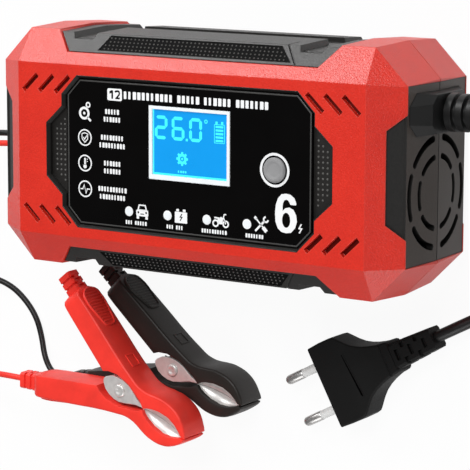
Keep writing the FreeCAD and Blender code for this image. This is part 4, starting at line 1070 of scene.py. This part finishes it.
def dots(places, radius, height):
    """Small raised grips at (place, way up) pairs."""
    parts = []
    for place, up in places:
        place, up = Vector(place), Vector(up).normalized()
        side = up.orthogonal().normalized()
        other = up.cross(side)
        rings = []
        for reach, rise in ((1.0, -0.3), (0.95, 0.35), (0.6, 0.85), (0.15, 1.0)):
            rings.append([tuple(place + up * (rise * height) + side * x + other * y)
                          for x, y in circle(0, 0, reach * radius, 8)])
        parts.append(loft(rings))
    return merge(*parts)


def add_panel():
    bolt = stroke([(52.9, -19.9), (51.8, -21.7), (53.0, -21.7), (51.9, -23.5)], 0.5)
    printed("title_block", [[block(-37.4, -30.3, 21.5, 26.3, 0.7)]])
    printed("title_figures", title_figures(), LABEL_TOP + PRINT, "black_plastic", "label_black",
            thick=0.03)
    printed("title_words", bars(-29.4, 24.0, 3.0, (11, 5, 6, 7), 2.17))
    printed("panel_marks", panel_marks())
    printed("panel_captions", panel_captions())
    printed("current_figure", big_six())
    printed("current_mark", [[bolt]])
    printed("screen_reading", screen_reading(), SCREEN_TOP, "screen_glass", "screen_pale")
    printed("screen_edge", SCREEN_EDGE, SCREEN_TOP, "screen_glass", "screen_pale")
    lining = hoop([[(x, y, z) for x, y in opening_outline(grow)] for grow, z in FRAME_EDGE])
    new_mesh("frame_edge", lining, ROOT, "black_plastic", "black_case", crease=0)
    edge = four_fold(LABEL_CORNERS)
    # A real rounded rim round the label, coloured a paler grey than the label: a painted highlight
    # along its edge.
    rim("label_rim", spread(edge, -0.45), spread(edge, -1.0), 0.12, "rim_highlight_grey")
    # Dark red sheets on the slots' floors: painted shade in the slots.
    printed("slot_shade_floors", slot_shade_floors(), DEPTH - SLOT_DEPTH, "red_shell", "slot_shade_red", 0.1)
    for name, sign in (("ear_dots_right", 1), ("ear_dots_left", -1)):
        places = [((sign * x, EAR_PITCH * k, EAR_TOP), (0, 0, 1)) for x, reach in EAR_COLUMNS
                  for k in range(-reach, reach + 1)]
        new_mesh(name, dots(places, 0.48, 0.3), ROOT, "black_plastic", "dot_grey")


# The dotted bands in the trims

CHAMFER_EDGE_Y = 34.85
CHAMFER_RUN, CHAMFER_UP = Vector((0, 0.8447, -0.5352)), Vector((0, 0.5352, 0.8447))
BAND_FLOOR, BAND_THICK, BAND_SINK = 1.3, 0.12, 0.02
BAND_LOW, BAND_HIGH = 7.75, 14.3
LOW_ENDS, HIGH_ENDS = (-44.2, 45.1), (-40.5, 39.9)
BAND_ROWS, BAND_PITCH = (1.1, 2.7, 4.3, 5.9), 1.9


def add_band(name, sy, sz):
    """The dotted band of the upper front trim, mirrored by sy and sz to one of the four trims."""
    def mirrored(v, base):
        return (v[0], sy * v[1], base + sz * v[2])

    def on_chamfer(x, run, depth):
        p = Vector((x, CHAMFER_EDGE_Y, DEPTH)) + CHAMFER_RUN * run - CHAMFER_UP * depth
        return mirrored(p, 0.0 if sz > 0 else DEPTH)

    top = BAND_FLOOR - BAND_THICK
    corners = [(LOW_ENDS[0], BAND_LOW), (LOW_ENDS[1], BAND_LOW), (HIGH_ENDS[1], BAND_HIGH),
               (HIGH_ENDS[0], BAND_HIGH)]
    floor = loft([[on_chamfer(x, run, depth) for x, run in corners]
                  for depth in (BAND_FLOOR + BAND_SINK, top)])
    new_mesh(name + "_plate", floor, ROOT, "black_plastic", "band_black", crease=0)
    places = []
    for i, below in enumerate(BAND_ROWS):
        run = BAND_HIGH - below
        share = (run - BAND_LOW) / (BAND_HIGH - BAND_LOW)
        left, right = (low + (high - low) * share for low, high in zip(LOW_ENDS, HIGH_ENDS))
        x = left + 1.2 + (BAND_PITCH / 2 if i % 2 else 0)
        while x < right - 1.0:
            places.append((on_chamfer(x, run, top), mirrored(CHAMFER_UP, 0.0)))
            x += BAND_PITCH
    new_mesh(name + "_dots", dots(places, 0.36, 0.28), ROOT, "black_plastic", "dot_grey")


add_panel()
for side, sy in (("top", 1), ("bottom", -1)):
    for half, sz in (("front", 1), ("rear", -1)):
        add_band(side + "_band_" + half, sy, sz)


# Stage and light, in metres

FLOOR_REACH = 6.0
# How much of the floor is plain white to the camera, and how much less in reflections.
FLOOR_GLOW, MIRRORED_SHARE = 0.94, 0.4
WORLD_STRENGTH = 0.2
# Each lamp: its place, its target, its side and its power.
LAMPS = {"key": ((-0.75, 0.95, 0.74), (0, 0, 0.04), 0.5, 10.6),
         "overhead": ((0.25, 0.75, 1.25), (0, 0, 0.03), 0.7, 12),
         "front_fill": ((0.3, -1.0, 0.7), (0, 0, 0.02), 0.8, 6.5)}


def add_stage():
    """A white floor that keeps the object's shadow."""
    mesh = bpy.data.meshes.new("floor")
    corners = [(sx * FLOOR_REACH, sy * FLOOR_REACH, 0) for sx, sy in CORNERS]
    mesh.from_pydata(corners, [], [(0, 1, 2, 3)])
    floor = bpy.data.objects.new("floor", mesh)
    bpy.context.scene.collection.objects.link(floor)
    shader = Shader("floor", (0.86, 0.86, 0.86), 0.9, specular=0.0)
    ray = shader.node("ShaderNodeLightPath").outputs
    glow = shader.node("ShaderNodeEmission", {"Color": (1, 1, 1), "Strength": 1.0})
    mirrored = shader.maths("MULTIPLY", ray["Is Glossy Ray"], MIRRORED_SHARE)
    seen = shader.maths("MAXIMUM", ray["Is Camera Ray"], mirrored)
    mixer = shader.node("ShaderNodeMixShader", {0: shader.maths("MULTIPLY", seen, FLOOR_GLOW),
                                                1: shader.bsdf.outputs["BSDF"],
                                                2: glow.outputs["Emission"]})
    shader.put(mixer.outputs["Shader"], shader.tree.nodes["Material Output"].inputs["Surface"])
    mesh.materials.append(materials["floor"])


def add_world():
    world = bpy.context.scene.world = bpy.data.worlds.new("studio")
    world.use_nodes = True
    background = world.node_tree.nodes["Background"]
    background.inputs["Color"].default_value = (1.0, 1.0, 1.0, 1)
    background.inputs["Strength"].default_value = WORLD_STRENGTH


def add_lamp(name, place, target, side, power):
    """A square lamp of the given side, turned towards target."""
    lamp = bpy.data.objects.new(name, bpy.data.lights.new(name, "AREA"))
    bpy.context.scene.collection.objects.link(lamp)
    lamp.data.shape = "SQUARE"
    lamp.data.size = side
    lamp.data.energy = power
    lamp.location = place
    lamp.rotation_euler = (Vector(target) - Vector(place)).to_track_quat("-Z", "Y").to_euler()


add_stage()
add_world()
for name, facts in LAMPS.items():
    add_lamp(name, *facts)
bpy.context.scene.view_settings.view_transform = "Standard"
